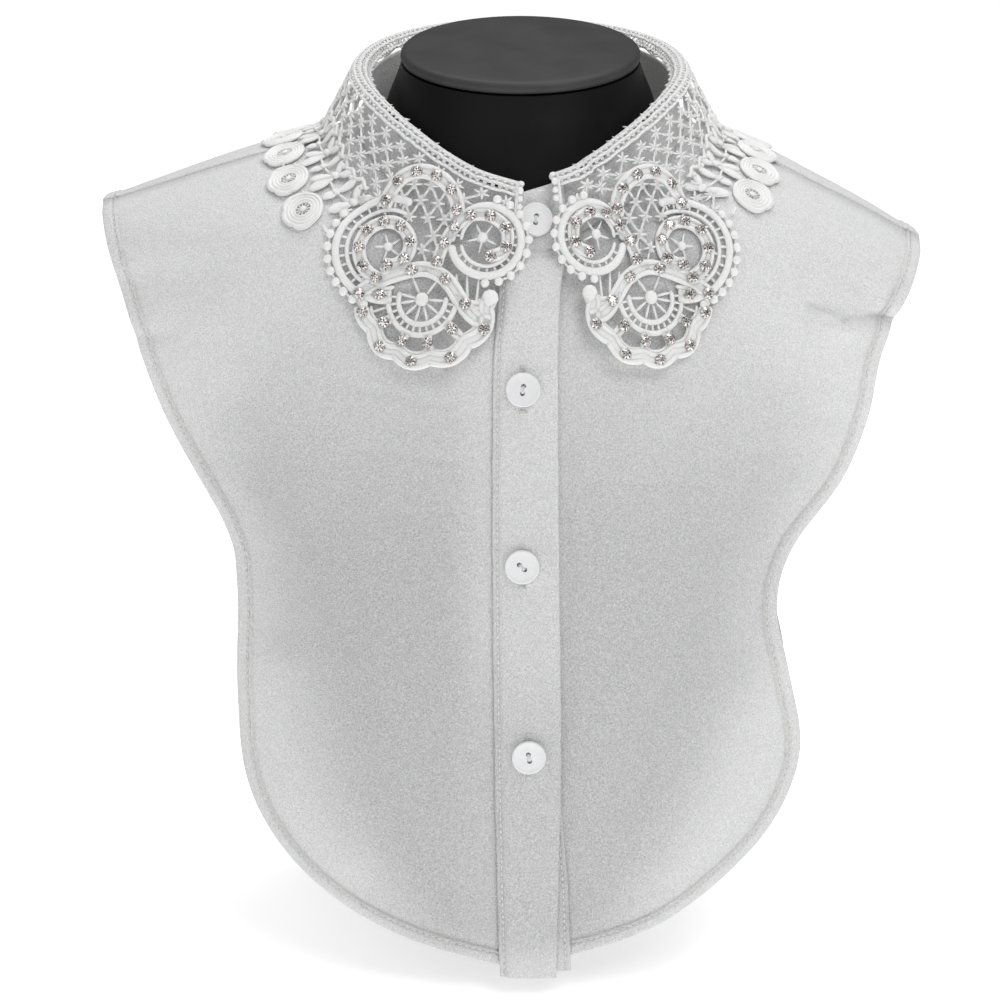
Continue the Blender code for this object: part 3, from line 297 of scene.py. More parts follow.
FORM = (
    ("height", "half_width", "front", "back"),
    (0, 42.0, 40.0, 36.0),
    (5, 46.0, 45.0, 40.0),
    (28, 53.0, 63.0, 48.0),
    (58, 63.0, 81.0, 58.0),
    (95, 75.0, 94.0, 67.0),
    (130, 84.0, 95.0, 73.0),
    (165, 90.0, 93.0, 77.0),
    (200, 97.0, 89.0, 80.0),
    (235, 105.0, 83.0, 80.0),
    (256, 108.5, 77.0, 77.0),
    (270, 108.0, 71.0, 75.0),
    (281, 105.0, 67.0, 73.0),
    (290, 99.0, 63.0, 71.0),
    (297, 91.0, 60.0, 69.0),
    (302, 80.0, 57.0, 66.0),
    (306, 66.0, 54.0, 62.0),
)
NECK = (
    ("height", "half_width", "front", "back"),
    (270, 56.0, 59.0, 59.0),
    (290, 55.4, 55.4, 59.0),
    (306, 53.6, 51.8, 57.5),
    (314, 51.8, 50.2, 55.4),
    (322, 49.4, 48.6, 52.3),
    (329, 46.5, 46.8, 48.8),
    (334.6, 44.6, 45.5, 46.5),
)
FORM_CLEAR = 1.5
FORM_CLEAR_TOP = 3.0
NECK_TILT = 6.0
NECK_TILT_FROM = 300.0
CAP_HALF_WIDTH = 45.0
CAP_HALF_DEPTH = 46.2
CAP_THICK = 5.6
CAP_DOME = 1.0
CAP_EDGE = 2.6


def rows(table):
    """A table's rows without its header, as an array."""
    return np.array(table[1:], float)


def read(table, name, at):
    """A named column of a table, read smoothly at each value of the table's first column."""
    values = rows(table)
    return smooth(at, values[:, 0], values[:, table[0].index(name)])


def smooth(at, keys, values):
    """A smooth curve through the pairs of keys and values that doesn't overshoot, read at each of at."""
    keys, values = np.asarray(keys, float), np.asarray(values, float)
    at = np.clip(np.asarray(at, float), keys[0], keys[-1])
    step = np.diff(keys)
    slope = np.diff(values) / step
    tangent = np.concatenate([slope[:1], np.zeros(len(slope) - 1), slope[-1:]])
    before, after = slope[:-1], slope[1:]
    same = before * after > 0
    total = np.where(same, before + after, 1.0)
    tangent[1:-1] = np.where(same, 2 * before * after / total, 0.0)
    cell = np.clip(np.searchsorted(keys, at) - 1, 0, len(step) - 1)
    t = (at - keys[cell]) / step[cell]
    curve = (1 + 2 * t) * (1 - t) ** 2 * values[cell] + t * t * (3 - 2 * t) * values[cell + 1]
    bend = t * (1 - t) ** 2 * tangent[cell] - t * t * (1 - t) * tangent[cell + 1]
    return curve + step[cell] * bend


def ease(value, low, high):
    """0 below low, 1 above high, and a smooth step between."""
    t = np.clip((np.asarray(value, float) - low) / (high - low), 0, 1)
    return t * t * (3 - 2 * t)


def hump(value, place, width):
    """1 at the place, and almost nothing at twice the width from it."""
    return np.exp(-(((value - place) / width) ** 2))


def folds(table, x, z):
    """How far the soft folds in a table move the cloth outward at each x and z."""
    total = np.zeros(np.broadcast(x, z).shape)
    for x0, z0, x1, z1, width, rise in table[1:]:
        run = np.array([x1 - x0, z1 - z0], float)
        share = ((x - x0) * run[0] + (z - z0) * run[1]) / (run @ run)
        near = np.clip(share, 0, 1)
        away = np.hypot(x - x0 - near * run[0], z - z0 - near * run[1])
        total += rise * hump(away, 0, width)
    return total


def ridge_height(x):
    reach = np.abs(x)
    return np.where(np.asarray(x) < 0, read(RIDGE, "left", reach), read(RIDGE, "right", reach))


def ridge_round(x):
    """How far below the ridge the cloth has turned down into the front or back."""
    return np.interp(np.abs(x), (ROUND_AT_NECK[0], ROUND_AT_TIP[0]), (ROUND_AT_NECK[1], ROUND_AT_TIP[1]))


def flat_front(x, z):
    """The front's depth before the shoulder rounds it over."""
    fall = SIDE_FALL * (np.abs(x) / read(BODY, "spread", z)) ** 2
    return read(BODY, "front", z) + fall - folds(FRONT_FOLDS, x, z)


def flat_back(x, z):
    fall = BACK_FALL * (np.abs(x) / read(BODY, "spread", z)) ** 2
    return read(BODY, "back", z) - fall + folds(BACK_FOLDS, x, z)


def front_point(x, z):
    """The front's inner surface at each x and height."""
    x, z = np.broadcast_arrays(np.asarray(x, float), np.asarray(z, float))
    turned = np.clip((ridge_height(x) - z) / ridge_round(x), 0, 1)
    share = np.sqrt(1 - (1 - turned) ** 2)
    return np.stack([x, RIDGE_DEPTH + (flat_front(x, z) - RIDGE_DEPTH) * share, z], -1)


def quarter_length(x, behind):
    """The length of cloth that turns over the shoulder, from the ridge to where it hangs."""
    low = ridge_height(x) - ridge_round(x)
    reach = np.where(behind, flat_back(x, low) - RIDGE_DEPTH, RIDGE_DEPTH - flat_front(x, low))
    return math.pi / 2 * np.sqrt((reach**2 + ridge_round(x) ** 2) / 2)


def over_point(x, w):
    """The cloth at distance w from the shoulder's ridge, measured along it: behind it if w is positive."""
    x, w = np.broadcast_arrays(np.asarray(x, float), np.asarray(w, float))
    behind = w > 0
    quarter = quarter_length(x, behind)
    turn = np.clip(np.abs(w) / quarter, 0, 1) * math.pi / 2
    drop = ridge_round(x) * (1 - np.cos(turn)) + np.maximum(np.abs(w) - quarter, 0)
    z = ridge_height(x) - drop
    reach = np.where(behind, flat_back(x, z) - RIDGE_DEPTH, flat_front(x, z) - RIDGE_DEPTH)
    return np.stack([x, RIDGE_DEPTH + reach * np.sin(turn), z], -1)


def behind_at(x, z):
    """The distance w behind the ridge at which the cloth has come down to height z."""
    drop = ridge_height(x) - z
    turned = ridge_round(x)
    quarter = quarter_length(x, np.full(np.shape(x), True))
    turn = np.arccos(np.clip(1 - drop / turned, -1, 1))
    return np.where(drop < turned, turn / (math.pi / 2) * quarter, quarter + drop - turned)


def seam_reach(x):
    """How far in front of the ridge the shoulder seam runs."""
    ends = (SHOULDER_SEAM_NECK, SHOULDER_SEAM_TIP)
    return np.interp(np.abs(x), (ROUND_AT_NECK[0], SHOULDER_TIP_REACH), ends)


def seam_height(x):
    """The height of the shoulder seam at each x."""
    return over_point(x, -seam_reach(x))[..., 2]


def ring(turn, sizes):
    """A point of a neck ring in plan. Turn is in degrees from the front, positive to the right."""
    angle = np.radians(turn)
    half_width, front, back = sizes
    reach = np.where(np.cos(angle) > 0, front, back)
    return half_width * np.sin(angle), -reach * np.cos(angle)


def seat_on_body(x, y):
    """The distance w from the ridge at which the cloth at x has depth y, by halving."""
    low, high = np.full(np.shape(x), -160.0), np.full(np.shape(x), 160.0)
    for _ in range(40):
        middle = (low + high) / 2
        ahead = over_point(x, middle)[..., 1] < y
        low, high = np.where(ahead, middle, low), np.where(ahead, high, middle)
    return (low + high) / 2


def neckline(turns):
    """The neck edge of the cloth at each turn: x, the distance w from the ridge, and the points."""
    x, y = ring(turns, RING_FOOT)
    w = seat_on_body(x, y)
    return x, w, over_point(x, w)


def through(points, count):
    """A smooth curve through the points, read at count places evenly spaced along it."""
    points = np.asarray(points, float)
    ends = np.concatenate([[2 * points[0] - points[1]], points, [2 * points[-1] - points[-2]]])
    t = np.linspace(0, 1, 25)[:-1, None]
    dense = []
    for a, b, c, d in zip(ends, ends[1:], ends[2:], ends[3:]):
        curve = (2 * a - 5 * b + 4 * c - d) * t**2 + (3 * b - a - 3 * c + d) * t**3
        dense.append(0.5 * (2 * b + (c - a) * t + curve))
    return evenly(np.concatenate(dense + [points[-1:]]), count)


def evenly(points, count):
    """Count points evenly spaced along a polyline."""
    length = measured(points)
    return places_at(np.linspace(0, length[-1], count), length, points)


def places_at(at, length, line):
    """The places at each distance along a line, whose own points lie at the distances length."""
    return np.stack([np.interp(at, length, column) for column in line.T], -1)


def measured(points):
    """The distance along a polyline to each of its points."""
    return np.concatenate([[0], np.cumsum(np.linalg.norm(np.diff(points, axis=0), axis=1))])


def between(values, i, j):
    """A grid of values, read between its points at each pair of places i and j."""
    i = np.clip(i, 0, values.shape[0] - 1.001)
    j = np.clip(j, 0, values.shape[1] - 1.001)
    a, b = i.astype(int), j.astype(int)
    s, t = (i - a)[..., None], (j - b)[..., None]
    top = values[a, b] * (1 - s) + values[a + 1, b] * s
    low = values[a, b + 1] * (1 - s) + values[a + 1, b + 1] * s
    return top * (1 - t) + low * t


def unit(v):
    return v / np.maximum(np.linalg.norm(v, axis=-1, keepdims=True), 1e-9)


def front_normal(x, z, step=0.5):
    across = front_point(x + step, z) - front_point(x - step, z)
    upward = front_point(x, z + step) - front_point(x, z - step)
    return unit(np.cross(across, upward))


def on_front(x, z, lift):
    """A point that far out from the front's inner surface."""
    return front_point(x, z) + front_normal(x, z) * np.asarray(lift)[..., None]


def waves(at, pitch, seed):
    """An uneven wave from -1 to 1, of about that pitch, that repeats nowhere near."""
    phase = seed * 1.7
    slow = np.sin(at / pitch * 2 * math.pi * 0.37 + phase * 2.3)
    return np.sin(at / pitch * 2 * math.pi + phase + 1.4 * slow) * (0.75 + 0.25 * slow)


# Materials

class Nodes:
    """A material's node tree, with short calls to add and link its nodes."""

    def __init__(self, name, colour, roughness):
        self.material = bpy.data.materials.new(name)
        self.material.use_nodes = True
        self.tree = self.material.node_tree
        self.shader = self.tree.nodes["Principled BSDF"]
        self.set(Base_Color=(*colour, 1), Roughness=roughness)
        self.place = self.add("ShaderNodeTexCoord").outputs["Object"]

    def set(self, **values):
        """The shader's own values, by the names of its inputs."""
        for key, value in values.items():
            self.shader.inputs[key.replace("_", " ")].default_value = value

    def tone(self, value, stops):
        """The shader's colour, from a ramp over the value."""
        self.link(self.ramp(value, stops), self.shader.inputs["Base Color"])

    def add(self, kind, **values):
        node = self.tree.nodes.new(kind)
        for key, value in values.items():
            node.inputs[key.replace("_", " ")].default_value = value
        return node

    def link(self, source, target):
        self.tree.links.new(source, target)

    def noise(self, scale, detail=2.0, roughness=0.5, distortion=0.0):
        node = self.add("ShaderNodeTexNoise", Scale=scale, Detail=detail, Roughness=roughness)
        node.inputs["Distortion"].default_value = distortion
        self.link(self.place, node.inputs["Vector"])
        return node.outputs["Fac"]

    def cells(self, scale, feature="F1"):
        node = self.add("ShaderNodeTexVoronoi", Scale=scale)
        node.feature = feature
        self.link(self.place, node.inputs["Vector"])
        return node.outputs["Distance"]

    def ramp(self, value, stops):
        node = self.add("ShaderNodeValToRGB")
        band = node.color_ramp
        while len(band.elements) < len(stops):
            band.elements.new(0.5)
        for element, (at, colour) in zip(band.elements, stops):
            element.position = at
            element.color = (*colour, 1)
        self.link(value, node.inputs["Fac"])
        return node.outputs["Color"]

    def mix(self, factor, first, second, kind="MIX"):
        node = self.tree.nodes.new("ShaderNodeMix")
        node.data_type = "RGBA"
        node.blend_type = kind
        slots = [s for s in node.inputs if s.type == "RGBA"]
        numbers = [s for s in node.inputs if s.name == "Factor" and s.type == "VALUE"]
        for given, target in ((factor, numbers[0]), (first, slots[0]), (second, slots[1])):
            if isinstance(given, bpy.types.NodeSocket):
                self.link(given, target)
            else:
                target.default_value = given
        return [s for s in node.outputs if s.type == "RGBA"][0]

    def maths(self, kind, first, second):
        node = self.tree.nodes.new("ShaderNodeMath")
        node.operation = kind
        for given, target in ((first, node.inputs[0]), (second, node.inputs[1])):
            if isinstance(given, bpy.types.NodeSocket):
                self.link(given, target)
            else:
                target.default_value = given
        return node.outputs["Value"]

    def attribute(self, name):
        node = self.tree.nodes.new("ShaderNodeAttribute")
        node.attribute_name = name
        return node.outputs["Fac"]

    def bump(self, heights, start=None):
        """Bumps one on another. Each is a height socket, its strength and its depth in millimetres."""
        normal = start
        for height, strength, depth in heights:
            node = self.add("ShaderNodeBump", Strength=strength, Distance=depth * MM)
            self.link(height, node.inputs["Height"])
            if normal is not None:
                self.link(normal, node.inputs["Normal"])
            normal = node.outputs["Normal"]
        self.link(normal, self.shader.inputs["Normal"])


GLOW_COLOURS = (1.0, 0.97, 0.92)
GLOW_DEPTH = 1.5 * MM


def shaded(colour, share):
    return tuple(c * share for c in colour)


def crepe(name, light, dark, form_and_painted_shade):
    """Matt white crepe: a fine pebbled grain, a little sheen, darker where the form shows through and where
    painted shade is laid, and painted shade in seams and stitch grooves.
    """
    made = Nodes(name, light, 0.86)
    made.set(Sheen_Weight=0.18, Sheen_Roughness=0.5, Specular_IOR_Level=0.25)
    if not form_and_painted_shade:
        made.set(Subsurface_Weight=0.5, Subsurface_Radius=GLOW_COLOURS, Subsurface_Scale=GLOW_DEPTH)
    fine = made.noise(1850, 2.0, 0.6)
    wide = made.noise(420, 2.0, 0.5)
    grain = made.ramp(fine, ((0.34, shaded(light, 0.74)), (0.66, light)))
    # Darker where the dark form shows through, and painted shade at the sides and under the lace.
    if form_and_painted_shade:
        shown = made.ramp(fine, ((0.34, shaded(dark, 0.62)), (0.66, dark)))
        grain = made.mix(made.attribute("form_and_painted_shade"), grain, shown)
    # Painted shade, slightly warm, in seams and stitch grooves.
    groove_shade_colour = made.mix(made.attribute("painted_groove_shade"), (1, 1, 1, 1), (0.8, 0.79, 0.77, 1))
    grain = made.mix(1.0, grain, groove_shade_colour, "MULTIPLY")
    made.link(grain, made.shader.inputs["Base Color"])
    pebbles = made.cells(1600)
    made.bump([(wide, 0.2, 0.25), (pebbles, 0.6, 0.3), (fine, 1.0, 0.4)])
    return made.material


def thread_white(name, colour, scale):
    """Matt cotton thread: fine uneven fibres across its surface and a slight variation of tone."""
    made = Nodes(name, colour, 0.78)
    made.set(Sheen_Weight=0.25, Sheen_Roughness=0.4, Specular_IOR_Level=0.3)
    made.set(Subsurface_Weight=0.4, Subsurface_Radius=GLOW_COLOURS, Subsurface_Scale=GLOW_DEPTH)
    fibres = made.noise(scale, 3.0, 0.6, 0.4)
    made.tone(fibres, ((0.3, shaded(colour, 0.9)), (0.65, colour)))
    made.bump([(fibres, 0.5, 0.18)])
    return made.material


def leather(name, colour, roughness, specular):
    """Smooth black imitation leather with a fine grain."""
    made = Nodes(name, colour, roughness)
    made.set(Specular_IOR_Level=specular)
    grain = made.cells(900)
    wide = made.noise(60, 3.0, 0.5)
    made.tone(wide, ((0.3, shaded(colour, 0.85)), (0.7, shaded(colour, 1.15))))
    rough = made.maths("MULTIPLY_ADD", wide, 0.12)
    rough.node.inputs[2].default_value = roughness - 0.06
    made.link(rough, made.shader.inputs["Roughness"])
    made.bump([(grain, 0.25, 0.12), (wide, 0.1, 0.4)])
    return made.material


def pearl(name, colour):
    """White button plastic with faint cloudy bands."""
    made = Nodes(name, colour, 0.42)
    made.set(Specular_IOR_Level=0.35, Subsurface_Weight=0.12, Subsurface_Scale=0.002)
    cloud = made.noise(260, 3.0, 0.5, 1.2)
    made.tone(cloud, ((0.3, shaded(colour, 0.95)), (0.7, colour)))
    made.bump([(cloud, 0.08, 0.2)])
    return made.material


def crystal(name):
    """Foil-backed crystal. Each face's reflection is painted as its own tone, held by the mesh, from a dark
    face to a bright glint.
    """
    made = Nodes(name, (0.9, 0.88, 0.86), 0.08)
    made.set(Metallic=0.55, IOR=1.6, Coat_Weight=0.6, Coat_Roughness=0.03)
    # Painted reflection tones: dark and dim faces, pale ones and white glints.
    dark, dim, pale, bright = (0.05, 0.045, 0.045), (0.2, 0.17, 0.16), (0.62, 0.56, 0.53), (1.0, 1.0, 1.0)
    made.tone(made.attribute("painted_glint"), ((0.0, dark), (0.35, dim), (0.6, pale), (1.0, bright)))
    return made.material


def silver(name):
    """Plated claw cups with small scratches."""
    made = Nodes(name, (0.66, 0.64, 0.62), 0.25)
    made.set(Metallic=1.0)
    worn = made.noise(1800, 2.0, 0.6)
    made.tone(worn, ((0.3, (0.5, 0.48, 0.46)), (0.7, (0.75, 0.73, 0.71))))
    made.bump([(worn, 0.15, 0.05)])
    return made.material


def floor_white(name):
    """A pale, slightly self-lit floor, like a lit studio sweep."""
    made = Nodes(name, (0.93, 0.93, 0.93), 0.9)
    cloud = made.noise(3, 2.0, 0.5)
    made.tone(cloud, ((0.3, (0.92, 0.92, 0.92)), (0.7, (0.94, 0.94, 0.94))))
    made.set(Emission_Color=(1, 1, 1, 1), Emission_Strength=0.66)
    return made.material


# Meshes

class Pile:
    """Points and faces gathered from many small forms, made into one mesh at the end."""

    def __init__(self):
        self.points, self.faces, self.count = [], [], 0

    def add(self, points, faces):
        points = np.asarray(points, float).reshape(-1, 3)
        for block in faces:
            self.faces.append(np.asarray(block, int) + self.count)
        self.points.append(points)
        self.count += len(points)

    def all_points(self):
        return np.concatenate(self.points)

    def mesh(self, name, points=None):
        points = self.all_points() if points is None else points
        made = bpy.data.meshes.new(name)
        faces = [face for block in self.faces for face in block.tolist()]
        made.from_pydata((points * MM).tolist(), [], faces)
        made.validate()
        return made


def face_outward(mesh):
    """A closed mesh with all its faces turned outward."""
    bm = bmesh.new()
    bm.from_mesh(mesh)
    bmesh.ops.recalc_face_normals(bm, faces=bm.faces)
    bm.to_mesh(mesh)
    bm.free()
    return mesh


END_SHARE = 0.55


def faces_between(rings, sides, closed=False):
    """Four-sided faces between that many rings of points, the last one joined to the first if closed."""
    i, k = np.meshgrid(np.arange(rings if closed else rings - 1), np.arange(sides), indexing="ij")
    j, m = (i + 1) % rings, (k + 1) % sides
    return np.stack([i * sides + k, i * sides + m, j * sides + m, j * sides + k], -1).reshape(-1, 4)


def sweep(line, up, width, height, sides=8, closed=False):
    """A tube along a line, width across and height along up, with rounded ends if it is open.

    Returns points and blocks of faces. Width and height may change along the line.
    """
    line = np.asarray(line, float)
    count = len(line)
    up = np.broadcast_to(np.asarray(up, float), line.shape)
    if closed:
        ahead = np.roll(line, -1, 0) - np.roll(line, 1, 0)
    else:
        ahead = np.gradient(line, axis=0)
    ahead = unit(ahead)
    across = unit(np.cross(ahead, up))
    upward = np.cross(across, ahead)
    width = np.broadcast_to(width, count)[:, None, None] / 2
    height = np.broadcast_to(height, count)[:, None, None] / 2
    turn = np.linspace(0, 2 * math.pi, sides, endpoint=False)
    round_it = np.cos(turn)[None, :, None] * width * across[:, None]
    round_it = round_it + np.sin(turn)[None, :, None] * height * upward[:, None]
    rings = line[:, None] + round_it
    if not closed:
        for end in (0, -1):
            rings[end] = line[end] + (rings[end] - line[end]) * END_SHARE
    blocks = [faces_between(count, sides, closed)]
    if not closed:
        blocks += [np.arange(sides)[None, ::-1], np.arange(sides)[None] + (count - 1) * sides]
    return rings.reshape(-1, 3), blocks


def around_axis(reach, turn, rise):
    """Points round the upright axis at each turn in radians."""
    return np.stack(np.broadcast_arrays(reach * np.cos(turn), reach * np.sin(turn), rise), -1)


def dome(centre, radius, height, sides=10, levels=4, low=0.0):
    """A bead: a ball pressed down to its height, resting at low."""
    turn = np.linspace(0, 2 * math.pi, sides, endpoint=False)
    rise = np.linspace(-math.pi / 2, math.pi / 2, levels + 2)[1:-1]
    middle = low + height / 2
    rings = [around_axis(radius * math.cos(a), turn, middle + height / 2 * math.sin(a)) for a in rise]
    points = np.concatenate(rings + [[[0, 0, low]], [[0, 0, low + height]]]) + [*centre, 0]
    k = np.arange(sides)
    after = (k + 1) % sides
    last, bottom = (levels - 1) * sides, levels * sides
    foot = np.stack([after, k, np.full(sides, bottom)], -1)
    crown = np.stack([last + k, last + after, np.full(sides, bottom + 1)], -1)
    return points, [faces_between(levels, sides), foot, crown]


TURNED_MERGE = 0.01 * MM
SHARP_FROM = math.radians(50)


def put(name, data):
    """A new object in the scene."""
    obj = bpy.data.objects.new(name, data)
    bpy.context.scene.collection.objects.link(obj)
    return obj


def dress(obj, finish, replaced=()):
    """An object made a shown piece on the one body, with its material, and the solids it replaces hidden.
    """
    obj.data.materials.clear()
    obj.data.materials.append(finish)
    obj.data.shade_smooth()
    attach(obj, "root")
    if replaced:
        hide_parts(*replaced)
    return obj


def add_piece(name, mesh, finish, replaced=()):
    return dress(put(name, mesh), finish, replaced)


def turned(name, profile, steps):
    """A form turned round the upright axis from pairs of reach and rise."""
    mesh = bpy.data.meshes.new(name)
    points = [(reach * MM, 0, rise * MM) for reach, rise in profile]
    mesh.from_pydata(points, [(k, k + 1) for k in range(len(points) - 1)], [])
    obj = put(name, mesh)
    lathe = obj.modifiers.new("turned", "SCREW")
    lathe.steps = lathe.render_steps = steps
    lathe.use_merge_vertices = True
    lathe.merge_threshold = TURNED_MERGE
    return obj


def apply_modifiers(obj):
    graph = bpy.context.evaluated_depsgraph_get()
    made = bpy.data.meshes.new_from_object(obj.evaluated_get(graph))
    obj.modifiers.clear()
    obj.data = made
    return obj


FORWARD = ((0, 0), (0, -1, 0))
FROM_CHEST = ((0.3, 1), (0, 0, 0.02))
FROM_NECK = ((1, 1), (0, 0, 0))


def cloth_piece(name, grids, outward, finish, replaced, form_and_painted_shade=None, painted_groove_shade=None):
    """A thin cloth shell from grids of its outer surface, welded where they meet.

    Outward gives its way out: shares of x and y, and a way that is added to them. The painted groove shade
    gives, for the grids' points, how much painted shade darkens them in a seam or under a row of stitches.
    """
    bm = bmesh.new()
    # Each point keeps how much painted shade darkens it in a seam or a stitch groove.
    groove = bm.verts.layers.float.new("painted_groove_shade")
    for number, points in enumerate(grids):
        made = [[bm.verts.new(Vector(p) * MM) for p in row] for row in points]
        if painted_groove_shade is not None:
            for row, depths in zip(made, painted_groove_shade[number]):
                for vert, depth in zip(row, depths):
                    vert[groove] = depth
        for upper, lower in zip(made, made[1:]):
            for a, b, c, d in zip(upper, upper[1:], lower[1:], lower):
                bm.faces.new((a, b, c, d))
    bmesh.ops.remove_doubles(bm, verts=bm.verts, dist=0.02 * MM)
    bmesh.ops.recalc_face_normals(bm, faces=bm.faces)
    bm.normal_update()
    share, added = outward
    centres = [face.calc_center_median() for face in bm.faces]
    ways = [Vector((at.x * share[0], at.y * share[1], 0)) + Vector(added) for at in centres]
    if sum(way.dot(face.normal) for way, face in zip(ways, bm.faces)) < 0:
        bmesh.ops.reverse_faces(bm, faces=bm.faces)
    mesh = bpy.data.meshes.new(name)
    bm.to_mesh(mesh)
    bm.free()
    # Each point keeps how much the dark form shows through it and how much painted shade is laid on it.
    if form_and_painted_shade is not None:
        places = np.array([v.co for v in mesh.vertices]) / MM
        shade = mesh.attributes.new("form_and_painted_shade", "FLOAT", "POINT")
        shade.data.foreach_set("value", form_and_painted_shade(places).astype(np.float32))
    obj = add_piece(name, mesh, finish, replaced)
    shell = obj.modifiers.new("cloth", "SOLIDIFY")
    shell.thickness = CLOTH * MM
    shell.offset = -1
    return apply_modifiers(obj)


# Panels

def hem_lift(inside, run, seed):
    """How far a hem's surface stands out at each distance inside the edge: a folded band, stitched down."""
    rounded = HEM_RISE * np.sqrt(np.clip(inside / HEM_ROUND, 0, 1))
    stitched = 0.55 * hump(inside, HEM_STITCH, 0.5)
    puckered = 0.2 * waves(run, 5.2, seed) * hump(inside, 4.2, 1.9)
    end = 1 - ease(inside, HEM_WIDTH - 0.25, HEM_WIDTH + 0.35)
    beyond = 0.12 * waves(run, 6.4, seed + 2) * hump(inside, 6.6, 2.2)
    return (rounded - HEM_SUNK - stitched + puckered) * end + beyond


def hem_groove_shade(inside):
    """How much painted shade darkens the hem's cloth in the groove of its stitches or against its own
    folded edge.
    """
    return 0.8 * hump(inside, HEM_STITCH, 0.45) + 0.6 * hump(inside, HEM_WIDTH + 0.35, 0.5)


HEM_COLUMNS = (0, 0.25, 0.6, 1.1, 1.8, 2.6, 3.3, 3.8, 4.15, 4.5, 4.85, 5.2, 5.45, 5.75, 6.1, 6.6, 7.4)


def edge_offsets(outer, inside, distances, start_way=None):
    """Rows of points at each distance inside the outer edge, measured square to it.

    Near the shoulder they keep that distance but run along the seam, in the direction start_way.
    """
    along = unit(np.gradient(outer, axis=0))
    square = np.stack([-along[:, 1], along[:, 0]], -1)
    square = square * np.sign(np.median(((inside - outer) * square).sum(-1)))
    way = square
    if start_way is not None:
        turned = (1 - ease(measured(outer), 3, 22))[:, None]
        way = unit(square * (1 - turned) + unit(np.asarray(start_way)) * turned)
        way = way / (way * square).sum(-1, keepdims=True)
    return [outer + way * d for d in distances]


def panel_rows(inner, outer, columns, seed, seam):
    """A grid between two edges, with the hem's own columns, and the hem's lift at each of its points.

    Its first row is set on the shoulder seam, which is given as a height for each x, and the next rows
    follow.
    """
    tip = outer[0, 0]
    near = tip - math.copysign(HEM_WIDTH, tip)
    hem = edge_offsets(outer, inner, HEM_COLUMNS, (near - tip, seam(near) - seam(tip)))
    shares = np.linspace(0, 1, columns)[1:]
    body = [hem[-1] + (inner - hem[-1]) * share for share in shares]
    grid = np.stack(hem + body, 1)
    run = measured(outer)[:, None]
    inside = np.concatenate([HEM_COLUMNS, np.full(columns - 1, 40.0)])[None]
    across = grid[0, :, 0]
    order = np.argsort(across)
    off = np.interp(grid[..., 0], across[order], (seam(across) - grid[0, :, 1])[order])
    grid[..., 1] += off * (1 - ease(run, 0, 55))
    # The third result is the painted shade in the hem's stitch groove and along its folded edge.
    return grid, hem_lift(inside, run, seed), np.broadcast_to(hem_groove_shade(inside), grid.shape[:2])


def outer_edge(side, count):
    table = OUTLINE_LEFT if side < 0 else OUTLINE_RIGHT
    edge = through(rows(table), count)
    return edge * np.array([side, 1])


# Half widths, at each height, of the darkened cloth on the left and right: where the black form shows
# through the thin cloth, and painted shade towards the sides.
SHOWS_THROUGH = (
    ("height", "left", "right"),
    (0, 24, 24),
    (40, 54, 50),
    (80, 76, 72),
    (120, 86, 86),
    (160, 98, 96),
    (190, 116, 110),
    (215, 118, 112),
    (240, 98, 88),
    (265, 70, 66),
    (300, 44, 44),
)


# The mask fades across the form's sides, weakens towards the top and is lighter on the doubled strips. Its
# reach past the sides and its fall towards the top paint shade rather than show the form.
SHOWS_FADES = (26, 20)
SHOWS_FROM_FOOT = (4, 30)
SHOWS_LESS_ABOVE = (160, 265)
BESIDE_STRIPS_RIGHT = (13, 18)
BESIDE_STRIPS_LEFT = (10, 30)
STRIPS_HIDE_ABOVE = (85, 150)
# Painted shadow on the cloth under each lace motif: how dark it is, how it fades, and an oval by its
# middle, half width and half height.
PAINTED_SHADE_UNDER_LACE_SHARE = 0.75
PAINTED_SHADE_UNDER_LACE_FADES = (0.78, 1.08)
PAINTED_SHADE_UNDER_LACE = (
    ("x", "height", "half_width", "half_height"),
    (-35.0, 266.0, 34.0, 31.0),
    (45.0, 266.0, 31.0, 31.0),
)


def form_shows_and_painted_shade(places):
    """How much the cloth is darkened at each place: where the dark form shows through the thin cloth, with
    painted shade past its sides, less towards the top, and a painted shadow under the heavy lace.
    """
    x, y, z = places.T
    half = np.where(x < 0, read(SHOWS_THROUGH, "left", z), read(SHOWS_THROUGH, "right", z))
    within, beyond = SHOWS_FADES
    edge = ease(np.abs(x), half - within, half + beyond)
    low = ease(z, *SHOWS_FROM_FOOT)
    high = 1 - 0.8 * ease(z, *SHOWS_LESS_ABOVE)
    strips = np.where(x > 0, ease(x, *BESIDE_STRIPS_RIGHT), ease(-x, *BESIDE_STRIPS_LEFT))
    on_strips = 0.8 - 0.45 * ease(z, *STRIPS_HIDE_ABOVE)
    shown = (1 - edge) * low * high * (strips + (1 - strips) * on_strips)
    # Painted shadow under the lace motifs.
    for middle_x, middle_z, half_x, half_z in PAINTED_SHADE_UNDER_LACE[1:]:
        away = np.hypot((x - middle_x) / half_x, (z - middle_z) / half_z)
        shown = np.maximum(shown, PAINTED_SHADE_UNDER_LACE_SHARE * (1 - ease(away, *PAINTED_SHADE_UNDER_LACE_FADES)) * (y < 0))
    return shown


